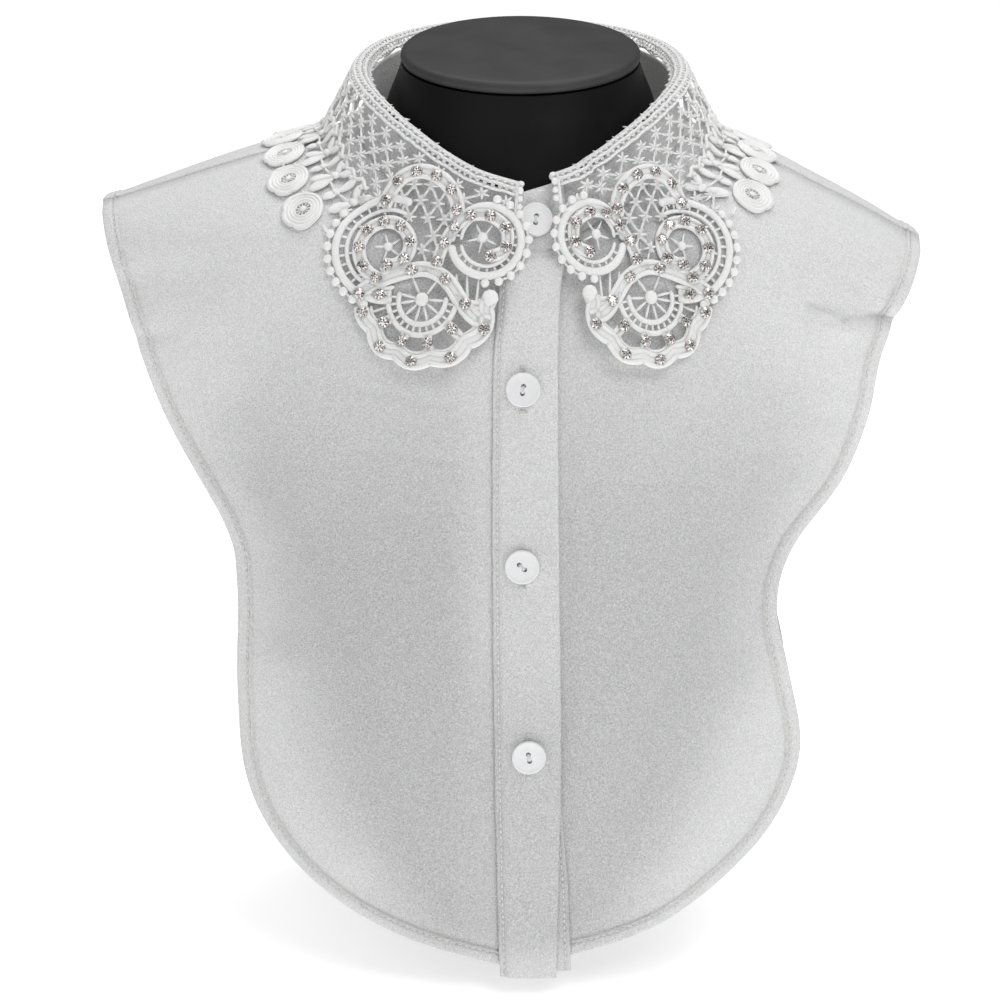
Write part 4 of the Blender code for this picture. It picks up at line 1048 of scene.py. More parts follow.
def front_panel(side, finish, count=250, columns=58):
    """A front, from its shoulder seam and neckline to its armhole and hem."""
    outer = outer_edge(side, count)
    neck = neckline(side * np.linspace(SEAM_TURN, 2, 60))[2][:, (0, 2)]
    centre_z = np.linspace(STRIP_TOP, CENTRE_FOOT, 60)
    if side < 0:
        centre_x = read(STRIPS, "upper_left", centre_z) + STRIP_LAP
        neck = neck[neck[:, 0] < centre_x[0] - 1]
    else:
        centre_x = read(STRIPS, "lower_right", centre_z) - STRIP_LAP
        neck = neck[neck[:, 0] > centre_x[0] + 1]
    inner = evenly(np.concatenate([neck, np.stack([centre_x, centre_z], -1)]), count)
    outer[-1] = (centre_x[-1], outer[-1][1])
    near_foot = outer[:, 0] * side < centre_x[-1] * side
    outer[near_foot, 0] = centre_x[-1]
    top_x = outer[0, 0]
    outer[0, 1] = over_point(top_x, -seam_reach(top_x) * 0.5)[2]
    grid, lift, painted_groove_shade = panel_rows(inner, outer, columns, side + 3, seam_height)
    seam = seam_height(grid[..., 0])
    from_seam = np.maximum(seam - grid[..., 1], 0)
    grid[..., 1] = np.minimum(grid[..., 1], seam)
    x, z = grid[..., 0], grid[..., 1]
    joined = 0.3 * hump(from_seam, 0, 1.0)
    crease = folds(FRONT_CREASES, x, z)
    points = on_front(x, z, WALL + lift + crease - joined)
    # Painted shade along the shoulder seam.
    painted_groove_shade = painted_groove_shade + 0.15 * hump(from_seam, 0, 0.6)
    name = "front_left" if side < 0 else "front_right"
    return cloth_piece(name + "_cloth", [points], FORWARD, finish, (name,), form_shows_and_painted_shade, [painted_groove_shade])


def over_shoulder(x, w, step=0.5):
    """The cloth's inner surface at distance w from the ridge, and the way out from it."""
    place = over_point(x, w)
    across = over_point(x + step, w) - over_point(x - step, w)
    back = over_point(x, w + step) - over_point(x, w - step)
    out = unit(np.cross(across, back))
    return place, out * np.sign((out * (place - MIDDLE_OF_CHEST)).sum(-1, keepdims=True))


def back_seam(x):
    """The distance w at which the back's cloth begins, at the shoulder seam."""
    return SEAM_GAP - seam_reach(x)


def back_panel(finish, count=220, columns=50):
    """The back, from the shoulder seams over the ridge and down to its hem, in two welded halves."""
    grids, grooves = [], []
    for side in (-1, 1):
        edge = outer_edge(side, 240)
        tip_x = edge[0, 0]
        tip = np.array([[tip_x, back_seam(tip_x)]])
        armhole = np.stack([edge[:, 0], behind_at(edge[:, 0], edge[:, 1])], -1)
        outer = evenly(np.concatenate([tip, armhole[1:]]), count)
        outer[-1, 0] = 0
        x, w, _ = neckline(side * np.linspace(SEAM_TURN, 180, 60))
        neck = np.stack([x, w], -1)
        neck[-1, 0] = 0
        foot = behind_at(np.zeros(1), np.array([CENTRE_FOOT]))[0]
        down = np.linspace(neck[-1, 1], foot, 60)[1:]
        inner = evenly(np.concatenate([neck, np.stack([np.zeros(59), down], -1)]), count)
        inner[np.abs(inner[:, 0]) < 0.25, 0] = 0
        grid, lift, painted_groove_shade = panel_rows(inner, outer, columns, side + 6, back_seam)
        grid[-1, :, 0] = 0
        from_seam = np.maximum(grid[..., 1] - back_seam(grid[..., 0]), 0)
        x, w = grid[..., 0], grid[..., 1]
        inner_surface, out = over_shoulder(x, w)
        rolled = 0.35 * hump(from_seam, 2.2, 1.6) - 0.5 * hump(from_seam, 0, 0.8)
        crease = folds(BACK_CREASES, x, inner_surface[..., 2]) * ease(w, *BACK_CREASES_FROM)
        grids.append(inner_surface + out * (WALL + lift + crease + rolled)[..., None])
        # Painted shade along the shoulder seam, added to the hem's.
        grooves.append(painted_groove_shade + 0.3 * hump(from_seam, 0, 0.7))
    return cloth_piece("back_cloth", grids, FROM_CHEST, finish, ("back_panel",), form_shows_and_painted_shade, grooves)


# Strips and stand

def upper_lift(from_edge):
    return STRIP_LIFT + (UPPER_LIFT - STRIP_LIFT) * ease(from_edge, 0.3, UPPER_BEND - 0.4)


def lower_lift(from_edge):
    return np.full(from_edge.shape, STRIP_LIFT)


STITCH_INSIDE = 1.9
STRIP_GROOVE = 0.3
STRIP_SEWN_TOP = 278.6


def strip(which, foot, lift, finish, count=260, columns=36):
    """The upper or lower button strip: a folded band, stitched near one edge."""
    top = np.linspace(STRIP_SEWN_TOP, STRIP_TOP, 10)[:-1]
    z = np.concatenate([top, np.linspace(STRIP_TOP, foot, count)])[:, None]
    x0, x1 = read(STRIPS, which + "_left", z), read(STRIPS, which + "_right", z)
    share = 0.5 - 0.5 * np.cos(np.linspace(0, math.pi, columns))
    share = (share + np.linspace(0, 1, columns)) / 2
    wander = 0.12 * waves(z, 31, 1)
    x = x0 + (x1 - x0) * share + wander * (1 - 2 * share)
    z = np.broadcast_to(z, x.shape)
    over_hem = OVER_HEM_LIFT * (1 - ease(z, *OVER_HEM_UNTIL))
    edge = np.minimum(x - x0, x1 - x)
    rounded = 0.5 * (np.sqrt(np.clip(edge / 0.8, 0, 1)) - 1)
    sewn_edge = x - x0 if which == "upper" else x1 - x
    sewn = STRIP_GROOVE * hump(sewn_edge, STITCH_INSIDE, 0.5)
    puckered = 0.12 * waves(z, 4.6, 4) * hump(sewn_edge, STITCH_INSIDE, 1.4)
    soft = 0.16 * waves(z + 1.3 * x, 37, 2) * ease(edge, 2, 6)
    height = lift(x - x0) + WALL + over_hem + rounded - sewn + puckered + soft
    under_stand = ease(z, STRIP_TOP - 3.5, STRIP_SEWN_TOP) * (height - 0.8)
    points = on_front(x, z, height - under_stand)
    # Painted shade in the stitch groove.
    painted_groove_shade = np.broadcast_to(0.7 * hump(sewn_edge, STITCH_INSIDE, 0.45), edge.shape)
    name = "strip_" + which
    return cloth_piece(name + "_cloth", [points], FORWARD, finish, (name,), form_shows_and_painted_shade, [painted_groove_shade])


def stand_frame(turn, up):
    """The stand's inner surface: turn round the neck in degrees, up from its foot at 0 to its top at 1."""
    foot_x, foot_y = ring(turn, RING_FOOT)
    shown = np.abs((turn + 180) % 360 - 180)
    foot_z = over_point(foot_x, seat_on_body(foot_x, foot_y))[..., 2] + WALL + 2 * SEAM_GAP
    top_x, top_y = ring(turn, RING_TOP)
    top_z = read(STAND_TOP, "height", shown)
    foot = np.stack([foot_x, foot_y, foot_z], -1)
    top = np.stack([top_x, top_y, top_z], -1)
    return foot + (top - foot) * up[..., None]


def stand_angles():
    under = math.degrees(math.asin(STAND_UNDER_END / RING_FOOT[0]))
    over = math.degrees(math.asin(STAND_OVER_END / RING_FOOT[0]))
    return under, over + 360


def stand(finish, count=420, levels=18):
    """The band round the neck: its end laps over at the front, and its foot turns out at the seam."""
    turn = np.linspace(*stand_angles(), count)[:, None]
    up = np.linspace(0, 1, levels)[None, :]
    turn, up = np.broadcast_arrays(turn, up)
    points = stand_frame(turn, up)
    lap = ease(turn - 360, *STAND_LAP_RISE)
    out = unit(points * np.array([1, 1, 0]))
    seam = 0.6 * hump(up, 0, 0.06)
    sunk = (0.9 + 1.5 * (1 - ease(np.abs((turn + 180) % 360 - 180), 100, 140))) * (1 - ease(up, 0, 0.14))
    rolled = -0.4 * hump(up, 1, 0.05)
    soft = 0.14 * waves(turn, 23, 3) * np.sin(up * math.pi)
    points = points + out * (STAND_LAP_LIFT * lap + seam + rolled + soft)[..., None]
    points[..., 2] -= sunk
    return cloth_piece("stand_cloth", [points], FROM_NECK, finish, ("collar_stand",))


# Stitching

def stitched(pile, line, up, pitch=2.6, length=1.8, width=0.52, height=0.42, lift=0.08):
    """Short raised stitches along a line, each a small bent thread that dips into the cloth at its ends."""
    line, up = np.asarray(line, float), np.asarray(up, float)
    run = measured(line)
    for start in np.arange(pitch / 2, run[-1] - length, pitch):
        at = start + np.linspace(0, length, 5)
        points = places_at(at, run, line)
        normal = unit(places_at(at, run, up))
        rise = lift + 0.16 * np.sin(np.linspace(0, math.pi, 5)) - 0.06
        pile.add(*sweep(points + normal * rise[:, None], normal, width, height, 6))


FLAT_MIDDLE = (0, 170)


def hem_stitch_line(side):
    """The stitch line of a front's hem and its normals."""
    outer = outer_edge(side, 300)
    centre_x = read(STRIPS, "upper_left" if side < 0 else "lower_right", CENTRE_FOOT)
    outer = outer[outer[:, 0] * side > centre_x * side + 4]
    flat = edge_offsets(outer, np.zeros_like(outer) + FLAT_MIDDLE, (HEM_STITCH,))[0]
    flat = flat[flat[:, 1] < seam_height(flat[:, 0]) - 1]
    x, z = flat.T
    lift = WALL + HEM_RISE - HEM_SUNK - HEM_STITCH_DIP + folds(FRONT_CREASES, x, z)
    return on_front(x, z, lift), front_normal(x, z)


def back_stitch_line(side):
    edge = outer_edge(side, 300)
    flat = np.stack([edge[:, 0], behind_at(edge[:, 0], edge[:, 1])], -1)
    flat = evenly(flat, 300)
    flat = edge_offsets(flat, np.zeros_like(flat) + FLAT_MIDDLE, (HEM_STITCH,))[0]
    flat = flat[flat[:, 0] * side > 1]
    x, w = flat.T
    inner_surface, out = over_shoulder(x, w)
    lift = WALL + 0.3 + folds(BACK_CREASES, x, inner_surface[:, 2]) * ease(w, *BACK_CREASES_FROM)
    return inner_surface + out * lift[:, None], out


def strip_stitch_line(which, edge, lift):
    z = np.linspace(STRIP_TOP - 3, (UPPER_STRIP_FOOT if which == "upper" else LOWER_STRIP_FOOT) + 3.5, 300)
    x0, x1 = read(STRIPS, which + "_left", z), read(STRIPS, which + "_right", z)
    x = x0 + STITCH_INSIDE if edge == "left" else x1 - STITCH_INSIDE
    over_hem = OVER_HEM_LIFT * (1 - ease(z, *OVER_HEM_UNTIL))
    height = lift(x - x0) + WALL + over_hem - STRIP_GROOVE
    return on_front(x, z, height), front_normal(x, z)


def stand_outer(x, z):
    """The stand's outer surface near the front, where its over end lies, and its outward direction."""
    turn = math.degrees(math.asin(x / RING_FOOT[0]))
    foot, top = (stand_frame(np.array(turn), np.array(float(k))) for k in (0, 1))
    up = (z - foot[2]) / (top[2] - foot[2])
    point = foot + (top - foot) * up
    out = unit(point * np.array([1, 1, 0]))
    across = np.array([-out[1], out[0], 0])
    normal = unit(np.cross(across, top - foot))
    return point + out * STAND_LAP_LIFT, normal


def all_stitches(finish):
    pile = Pile()
    for side in (-1, 1):
        stitched(pile, *hem_stitch_line(side))
        stitched(pile, *back_stitch_line(side))
    for which, edge, lift in (("upper", "left", upper_lift), ("lower", "right", lower_lift)):
        stitched(pile, *strip_stitch_line(which, edge, lift), pitch=2.4, length=1.7)
    return add_piece("seam_stitches", pile.mesh("seam_stitches"), finish)


BUTTONHOLE = 15.5
SATIN_STITCHES = 44
SATIN_THREAD = (0.36, 0.22)
SATIN_FROM, SATIN_TO = 0.12, 1.05
END_BAR_STITCHES = 4
END_BAR_THREAD = (0.4, 0.24)
END_BAR_REACH = 1.25


def buttonholes(finish):
    """Worked buttonholes: two rows of close satin stitches with a bar at each end."""
    pile = Pile()
    for _, x, z, _ in BUTTONS[2:]:
        tall = np.linspace(-BUTTONHOLE / 2, BUTTONHOLE / 2, SATIN_STITCHES)
        for k, at in enumerate(tall):
            for side in (-1, 1):
                across = np.linspace(SATIN_FROM, SATIN_TO, 3) * side
                heights = UPPER_LIFT + WALL + np.array([0.0, 0.08, -0.02])
                line = on_front(x + across, z + at + 0.1 * (k % 2) + 0 * across, heights)
                pile.add(*sweep(line, front_normal(np.array(x), np.array(z + at)), *SATIN_THREAD, 5))
        for end in (-1, 1):
            for k in range(END_BAR_STITCHES):
                across = np.linspace(-END_BAR_REACH, END_BAR_REACH, 5)
                heights = UPPER_LIFT + WALL + 0.04 + 0.08 * np.cos(across)
                at = z + end * (BUTTONHOLE / 2 + 0.35 * k - 0.3)
                line = on_front(x + across, at + 0 * across, heights)
                pile.add(*sweep(line, front_normal(np.array(x), np.array(at)), *END_BAR_THREAD, 5))
    return add_piece("buttonholes", pile.mesh("buttonholes"), finish)


# Buttons

def button_place(name, x, z):
    if name == "button_top":
        at, normal = stand_outer(x, z)
        at = at + normal * BUTTON_TOP_SEAT
    else:
        at = on_front(np.array(x), np.array(z), UPPER_LIFT + WALL + SEAM_GAP)
        normal = front_normal(np.array(x), np.array(z))
    return Matrix.Translation(Vector(at) * MM) @ Vector(normal).to_track_quat("Z", "Y").to_matrix().to_4x4()


BUTTON_PROFILE = (
    ("reach", "rise"),
    (0.0, 0.85),
    (0.5, 0.855),
    (0.74, 0.87),
    (0.83, 0.91),
    (0.88, 0.97),
    (0.92, 1.0),
    (0.955, 0.97),
    (0.985, 0.84),
    (0.998, 0.66),
    (1.0, 0.45),
    (0.97, 0.2),
    (0.9, 0.06),
    (0.8, 0.0),
    (0.0, 0.0),
)


def button(name, x, z, hole_turn, finish, thread):
    """A two-hole button turned from a profile with a raised rim, drilled, and sewn on with thread."""
    place = button_place(name, x, z)
    obj = turned(name + "_shirt", rows(BUTTON_PROFILE) * [BUTTON_RADIUS, BUTTON_THICK], 56)
    angle = math.radians(hole_turn)
    apart = Vector((math.cos(angle), math.sin(angle), 0))
    reach, deep = BUTTON_HOLE_RADIUS * 1.15 * MM, 4 * BUTTON_THICK * MM
    drills = []
    for end in (-1, 1):
        drill_mesh = bpy.data.meshes.new("drill")
        bm = bmesh.new()
        bmesh.ops.create_cone(bm, cap_ends=True, segments=20, radius1=reach, radius2=reach, depth=deep)
        bm.to_mesh(drill_mesh)
        bm.free()
        drill = put("drill", drill_mesh)
        drill.location = apart * end * BUTTON_HOLE_APART / 2 * MM
        cut = obj.modifiers.new("hole", "BOOLEAN")
        cut.operation = "DIFFERENCE"
        cut.object = drill
        drills.append(drill)
    bpy.context.view_layer.update()
    apply_modifiers(obj)
    for drill in drills:
        bpy.data.objects.remove(drill)
    obj.data.transform(place)
    dress(obj, finish, (name,))
    obj.data.set_sharp_from_angle(angle=SHARP_FROM)
    pile = Pile()
    half = BUTTON_HOLE_APART / 2
    square = Vector((-apart.y, apart.x, 0))
    for k in (-0.36, 0.0, 0.36):
        reach = np.linspace(-half - 0.25, half + 0.25, 9)
        rise = BUTTON_THICK * 0.85 + 0.16 - 1.1 * np.maximum(np.abs(reach) - half + 0.5, 0)
        line = np.array([apart * r + square * k for r in reach])
        line[:, 2] = rise
        pile.add(*sweep(line, (0, 0, 1), 0.36, 0.36, 6))
    sewn = pile.mesh(name + "_thread")
    sewn.transform(place)
    add_piece(name + "_thread", sewn, thread)
    return obj


# Lace surface

def body_distance(points):
    """A near distance from the cloth's inner surface to each point, and the way out from it."""

    def level(p):
        x, y, z = p[..., 0], p[..., 1], p[..., 2]
        behind = y > RIDGE_DEPTH
        reach = np.where(behind, flat_back(x, z) - RIDGE_DEPTH, RIDGE_DEPTH - flat_front(x, z))
        turned = ridge_round(x)
        above = np.maximum(z - ridge_height(x) + turned, 0) / turned
        return np.sqrt(((y - RIDGE_DEPTH) / np.maximum(reach, 5)) ** 2 + above**2) - 1

    step = 0.4
    here = level(points)
    shifts = np.eye(3) * step
    slope = np.stack([(level(points + k) - level(points - k)) / (2 * step) for k in shifts], -1)
    size = np.linalg.norm(slope, axis=-1)
    return here / size, slope / size[..., None]


def fold_line(side):
    """The stand's top edge from the front end to the centre back: places, distances and turns."""
    turn = np.linspace(0, 180, 361)
    x, y = ring(side * turn, RING_TOP)
    z = read(STAND_TOP, "height", turn) + FOLD_LIFT
    over = math.degrees(math.asin(STAND_OVER_END / RING_TOP[0]))
    lap = ease(side * turn, *STAND_LAP_RISE) * (1 - ease(side * turn, over, over + 8))
    points = np.stack([x, y, z], -1)
    points = points + unit(points * np.array([1, 1, 0])) * (STAND_LAP_LIFT * lap)[:, None]
    return points, measured(points), turn


class LaceSurface:
    """The surface that the lace's underside lies on, found once on a grid of along and down."""

    START, DEPTH, STEP = -30.0, 92.0, 1.0

    def __init__(self, side):
        self.side = side
        line, length, turns = fold_line(side)
        self.end = length[-1]
        half = dict(zip(HALVES[0], HALVES[1 if side < 0 else 2]))
        self.front_end, self.first_tab = half["front_end"], half["first_tab"]
        self.motif, self.motif_width = (half["motif_along"], half["motif_down"]), half["motif_width"]
        self.along = np.arange(self.START, self.end + self.STEP, self.STEP)
        self.down = np.arange(0, self.DEPTH + self.STEP, self.STEP)
        inside = np.clip(self.along, 0, self.end)
        base = places_at(inside, length, line)
        way = unit(np.gradient(places_at(self.along, length, line), axis=0))
        way[self.along < 1.5] = way[np.searchsorted(self.along, 1.5)]
        way[self.along > self.end - 1.5] = way[np.searchsorted(self.along, self.end - 1.5) - 1]
        base = base + way * (self.along - inside)[:, None]
        turn = np.interp(inside, length, turns)
        out = unit(np.stack([way[:, 1], -way[:, 0], 0 * turn], -1)) * side
        upright = np.array([0, 0, 1.0]) - way[:, 2:3] * way
        downward = -unit(upright)
        slant = np.radians(read(FALL, "slant", turn))[:, None]
        roll = (ROLL_FRONT + (ROLL_BACK - ROLL_FRONT) * ease(turn, 0, 50))[:, None]
        heading = unit(np.cos(slant) * downward + np.sin(slant) * out)
        self.points = self.fallen(base, out, downward, roll, heading)
        across = np.gradient(self.points, axis=0)
        lower = np.gradient(self.points, axis=1)
        normal = unit(np.cross(across, lower))
        self.normals = normal * np.sign((normal[:, 30] * out).sum(-1))[:, None, None]

    def fallen(self, base, out, downward, roll, heading):
        """Lines that roll over the fold, fall straight and then lie on the cloth, each in a plane."""
        landed = np.zeros((len(base), 1), bool)
        fallen = [base]
        for at in self.down[1:]:
            last = fallen[-1]
            turn = at / roll
            rolled = base + out * roll * (1 - np.cos(turn)) - downward * roll * np.sin(turn)
            point = np.where(turn < math.pi, rolled, last + heading * self.STEP)
            for _ in range(3):
                distance, way = body_distance(point)
                flat_way = (way * out).sum(-1, keepdims=True) * out + way * [0, 0, 1]
                short = (self.wanted(point) - distance)[:, None]
                landed |= (short > 0) & (turn > math.pi)
                slope = np.maximum((flat_way**2).sum(-1, keepdims=True), 0.2)
                point = np.where(landed, point + flat_way * short / slope, point)
                moved = unit(point - last) * self.STEP
                point = np.where(landed, last + moved, point)
            heading = np.where(turn > math.pi, unit(point - last), heading)
            fallen.append(point)
        points = np.stack(fallen, 1)
        for _ in range(3):
            points = self.clear(self.relax(points, 5))
        return points

    def wanted(self, points):
        """The distance from the cloth's inner surface that clears the panels, strips and top button."""
        x = points[..., 0]
        over_strips = ease(x, *OVER_STRIPS_LEFT) * (1 - ease(x, *OVER_STRIPS_RIGHT)) * (points[..., 1] < 0)
        low = WALL + LACE_CLEAR
        return low + (UPPER_LIFT + WALL + LACE_CLEAR + OVER_STRIPS_CLEAR - low) * over_strips

    def clear(self, points):
        """The points moved out wherever they come nearer to the cloth than they may."""
        distance, way = body_distance(points)
        short = np.maximum(self.wanted(points) - distance, 0) * ease(self.down, *LIES_ON_CLOTH_FROM)
        return points + way * short[..., None]

    def relax(self, points, times):
        hold = ease(self.down, *LIES_ON_CLOTH_FROM)[None, :, None]
        for _ in range(times):
            mean = points.copy()
            mean[1:-1] = (points[:-2] + points[1:-1] * 2 + points[2:]) / 4
            mean[:, 1:-1] = (mean[:, :-2] + mean[:, 1:-1] * 2 + mean[:, 2:]) / 4
            points = points + (mean - points) * hold
        return points

    def at(self, along, down, values=None):
        """The underside at each along and down, or another value kept on the same grid."""
        values = self.points if values is None else values
        i = (np.asarray(along, float) - self.START) / self.STEP
        return between(values, i, np.asarray(down, float) / self.STEP)

    def lifted(self, flat):
        """Points given as along, down and height above the underside, in space."""
        along, down, height = flat.T
        return self.at(along, down) + unit(self.at(along, down, self.normals)) * height[:, None]

    def slopes(self, along, down):
        """The surface's own directions along and down, per millimetre of the flat drawing."""
        by_along = (self.at(along + 1.5, down) - self.at(along - 1.5, down)) / 3
        by_down = (self.at(along, down + 1.5) - self.at(along, down - 1.5)) / 3
        return by_along, by_down

    def walk(self, centre, p, q, plumb=False, steps=24):
        """Flat shapes drawn round a centre, laid on the surface without stretching them.

        Each point is reached from the centre by a straight walk over the surface, p towards the centre
        front and q downwards. The result is its place along and down.
        """
        p, q = np.broadcast_arrays(np.asarray(p, float), np.asarray(q, float))
        along, down = np.full(p.shape, float(centre[0])), np.full(p.shape, float(centre[1]))
        by_along, by_down = self.slopes(*centre)
        normal = unit(np.cross(by_along, by_down))
        lower = np.array([0, 0, -1.0]) if plumb else by_down
        lower = unit(lower - normal * (lower @ normal))
        fore = np.cross(lower, normal)
        fore = fore * -np.sign(fore @ by_along)
        reach = np.hypot(p, q)
        way = p[..., None] * fore + q[..., None] * lower
        for _ in range(steps):
            by_along, by_down = self.slopes(along, down)
            normal = unit(np.cross(by_along, by_down))
            way = way - normal * (way * normal).sum(-1, keepdims=True)
            way = unit(way) * reach[..., None]
            aa, bb, ab = (by_along**2).sum(-1), (by_down**2).sum(-1), (by_along * by_down).sum(-1)
            wa, wb = (way * by_along).sum(-1), (way * by_down).sum(-1)
            scale = (aa * bb - ab**2) * steps
            along = along + (bb * wa - ab * wb) / scale
            down = down + (aa * wb - ab * wa) / scale
            along = np.clip(along, self.along[1], self.along[-2])
            down = np.clip(down, self.down[0], self.down[-2])
        return along, down


def tab_depth(surface, along):
    share = ease(along, surface.first_tab, surface.first_tab + TAB_DEPTH_RUN)
    return TAB_DEPTH_FIRST + (TAB_DEPTH_BACK - TAB_DEPTH_FIRST) * share


def tab_places(surface):
    """The rosette tabs' centres, evenly spaced along the outer edge to the centre back."""
    along = np.linspace(surface.first_tab, surface.end, 120)
    length = measured(surface.at(along, tab_depth(surface, along)))
    run = length[-1] - TAB_RADIUS - SEAM_GAP
    places = np.interp(np.linspace(0, run, round(run / TAB_PITCH) + 1), length, along)
    return [(float(a), float(tab_depth(surface, a))) for a in places]


# Lace drawing. The front motif is drawn in p, towards the centre front, and q, down from the fan's centre.

def arc(centre, radius, start, end, step=0.9):
    """An arc in the motif's coordinates: 0 degrees is towards the centre front, 90 is down."""
    mean = np.mean(np.broadcast_to(radius, 2))
    count = max(int(abs(math.radians(end - start)) * mean / step), 3)
    turns = np.radians(np.linspace(start, end, count))
    reach = np.linspace(*np.broadcast_to(radius, 2), count)
    return np.stack([centre[0] + reach * np.cos(turns), centre[1] + reach * np.sin(turns)], -1)


def curve(points, step=0.9):
    dense = through(points, 400)
    return evenly(dense, max(int(measured(dense)[-1] / step), 3))


def beside(line, distance):
    """The line moved sideways."""
    along = unit(np.gradient(line, axis=0))
    return line + np.stack([-along[:, 1], along[:, 0]], -1) * distance


def within(points, polygon):
    """True for points inside a polygon."""
    x, y = points[..., 0], points[..., 1]
    inside = np.zeros(x.shape, bool)
    for (x0, y0), (x1, y1) in zip(polygon, np.roll(polygon, -1, 0)):
        crosses = (y0 > y) != (y1 > y)
        at = x0 + (y - y0) * (x1 - x0) / (y1 - y0 if y1 != y0 else 1e-9)
        inside ^= crosses & (x < at)
    return inside


class Drawing(Pile):
    """Cords, bars, beads and petals drawn flat, with heights above the lace's underside."""

    def cord(self, line, width, height=1.35, low=0.0, closed=False, sides=8):
        line = np.asarray(line, float)
        flat = np.column_stack([line, np.full(len(line), low + height / 2)])
        self.add(*sweep(flat, (0, 0, 1), width, height, sides, closed))

    def bar(self, start, end, width=0.8, height=0.8, low=0.15, count=4):
        share = np.linspace(0, 1, count)[:, None]
        line = np.asarray(start, float) * (1 - share) + np.asarray(end, float) * share
        self.cord(line, width, height, low, sides=5)

    def band(self, line, width=BRAID_WIDTH, rim=1.9):
        """A braid that carries stones: a flat bed between two raised cords."""
        for side in (-1, 1):
            self.cord(beside(line, side * (width - rim) / 2), rim, 1.75)
        self.cord(line, width - rim * 0.9, 1.0, 0.1)

    def bead(self, centre, radius, height=None, low=0.0):
        self.add(*dome(centre, radius, height or radius * 1.35, low=low))

    def petal(self, start, end, width, height=1.35):
        """A leaf, widest past its middle, with a crease along it."""
        share = np.linspace(0, 1, 11)
        line = np.asarray(start, float) * (1 - share[:, None]) + np.asarray(end, float) * share[:, None]
        swell = np.sin(math.pi * share**1.25) ** 0.7
        wide = 0.5 + (width - 0.5) * swell
        tall = 0.7 + (height - 0.7) * swell
        flat = np.column_stack([line, tall / 2])
        self.add(*sweep(flat, (0, 0, 1), wide, tall, 10))

    def ladder(self, centre, low, high, start, end, step, width=0.85):
        for turn in np.radians(np.arange(start, end, step)):
            way = np.array([math.cos(turn), math.sin(turn)])
            self.bar(centre + way * low, centre + way * high, width)

    def star(self, centre, arms, width=1.05, height=1.1):
        """Short crossed bars with rounded ends. Each arm is given by its angle in degrees and its reach."""
        for turn, reach in arms:
            way = around(turn, reach)
            self.bar(centre - way, centre + way, width, height, 0.2, 4)

    def net(self, half, level, allowed, low, high, arms, width=0.8):
        """A lattice of slanting bars, half a pitch across and a level down, with stars where they cross."""
        columns = np.arange(int(low[0] / half) - 1, int(high[0] / half) + 2)
        levels = np.arange(int(low[1] / level) - 1, int(high[1] / level) + 2)
        crossings = [(i, j) for i in columns for j in levels if (i + j) % 2 == 0]
        places = np.array(crossings) * [half, level]
        nodes = {key: place for key, place, kept in zip(crossings, places, allowed(places)) if kept}
        for (i, j), place in nodes.items():
            sway = np.array([math.sin(i * 12.9 + j * 7.3), math.sin(i * 5.1 - j * 9.7)])
            place += sway * half * NET_UNEVEN
        for (i, j), place in nodes.items():
            for across in (-1, 1):
                other = nodes.get((i + across, j + 1))
                if other is not None:
                    self.bar(place, other, width, 0.85, 0.15, 4)
            lean = 9 * math.sin(i * 3.7 + j * 2.1)
            long = 1 + 0.12 * math.sin(i * 2.3 - j * 4.9)
            self.star(place, [(turn + lean, reach * long) for turn, reach in arms])


OUTER_LOBE = np.array([-17.0, -17.0])
OUTER_RING = 18.9
OUTER_PICOTS = 21.9
INNER_LOBE = np.array([20.5, -24.0])
INNER_RING = 12.9
INNER_PICOTS = 15.6
FAN = np.array([0.0, 0.0])
FAN_EDGE = 24.0
FAN_FRONT_REACH = 3.0
FAN_SCALLOP_RISE = 2.2
FAN_PITCH = 36
FAN_END = -8.0
FAN_WINDOWS = 6
FAN_ARCS = (9.2, 13.2)
ARCH = (
    (8.4, -31.0),
    (7.0, -37.6),
    (1.6, -43.8),
    (-6.8, -46.9),
    (-14.6, -44.4),
    (-18.8, -38.4),
    (-20.6, -32.0),
)
MIDDLE = (
    (-25.5, 2.0),
    (-19.5, -3.6),
    (-10.5, -8.6),
    (-0.5, -11.2),
    (8.2, -8.0),
    (14.5, -1.4),
    (20.2, 4.2),
    (27.0, 5.6),
)
STEM = (
    (3.2, -12.4),
    (4.4, -19.0),
    (7.4, -26.6),
    (13.4, -32.4),
    (20.8, -33.2),
    (27.4, -28.8),
    (27.6, -21.6),
    (22.0, -18.0),
)
BRIDES = (
    ((11.5, -10.5), (13.0, -4.5)),
    ((15.4, -10.8), (17.6, 1.0)),
    ((20.0, -10.6), (20.6, 2.0)),
    ((-26.5, 0.5), (-21.5, 8.0)),
    ((-21.5, 8.0), (-13.0, 4.0)),
    ((-15.0, -5.0), (-13.0, 4.0)),
)
SPIRAL_CENTRE = OUTER_LOBE + [1.0, -0.6]
NET_UNEVEN = 0.09
RING_CORD = (3.0, 1.7)
RUNG_WIDTH = 1.0
SPOKE_WIDTH = 0.9
PICOT_RISE = 2.1
PICOT_BAR = 1.1
PICOT_LINK = (0.9, 0.8)
BRIDE_WIDTH = 1.1
STONE_PITCH = 7.3
STONES_APART = 4.9


def fan_reach(turn):
    """The fan's scalloped edge at each angle in degrees."""
    scallop = FAN_SCALLOP_RISE * np.abs(np.cos(np.radians(turn - 90) * 180 / FAN_PITCH))
    return FAN_EDGE + FAN_FRONT_REACH * np.maximum(np.cos(np.radians(turn)), 0) + scallop


def around(turn, reach):
    return np.stack([reach * np.cos(np.radians(turn)), reach * np.sin(np.radians(turn))], -1)


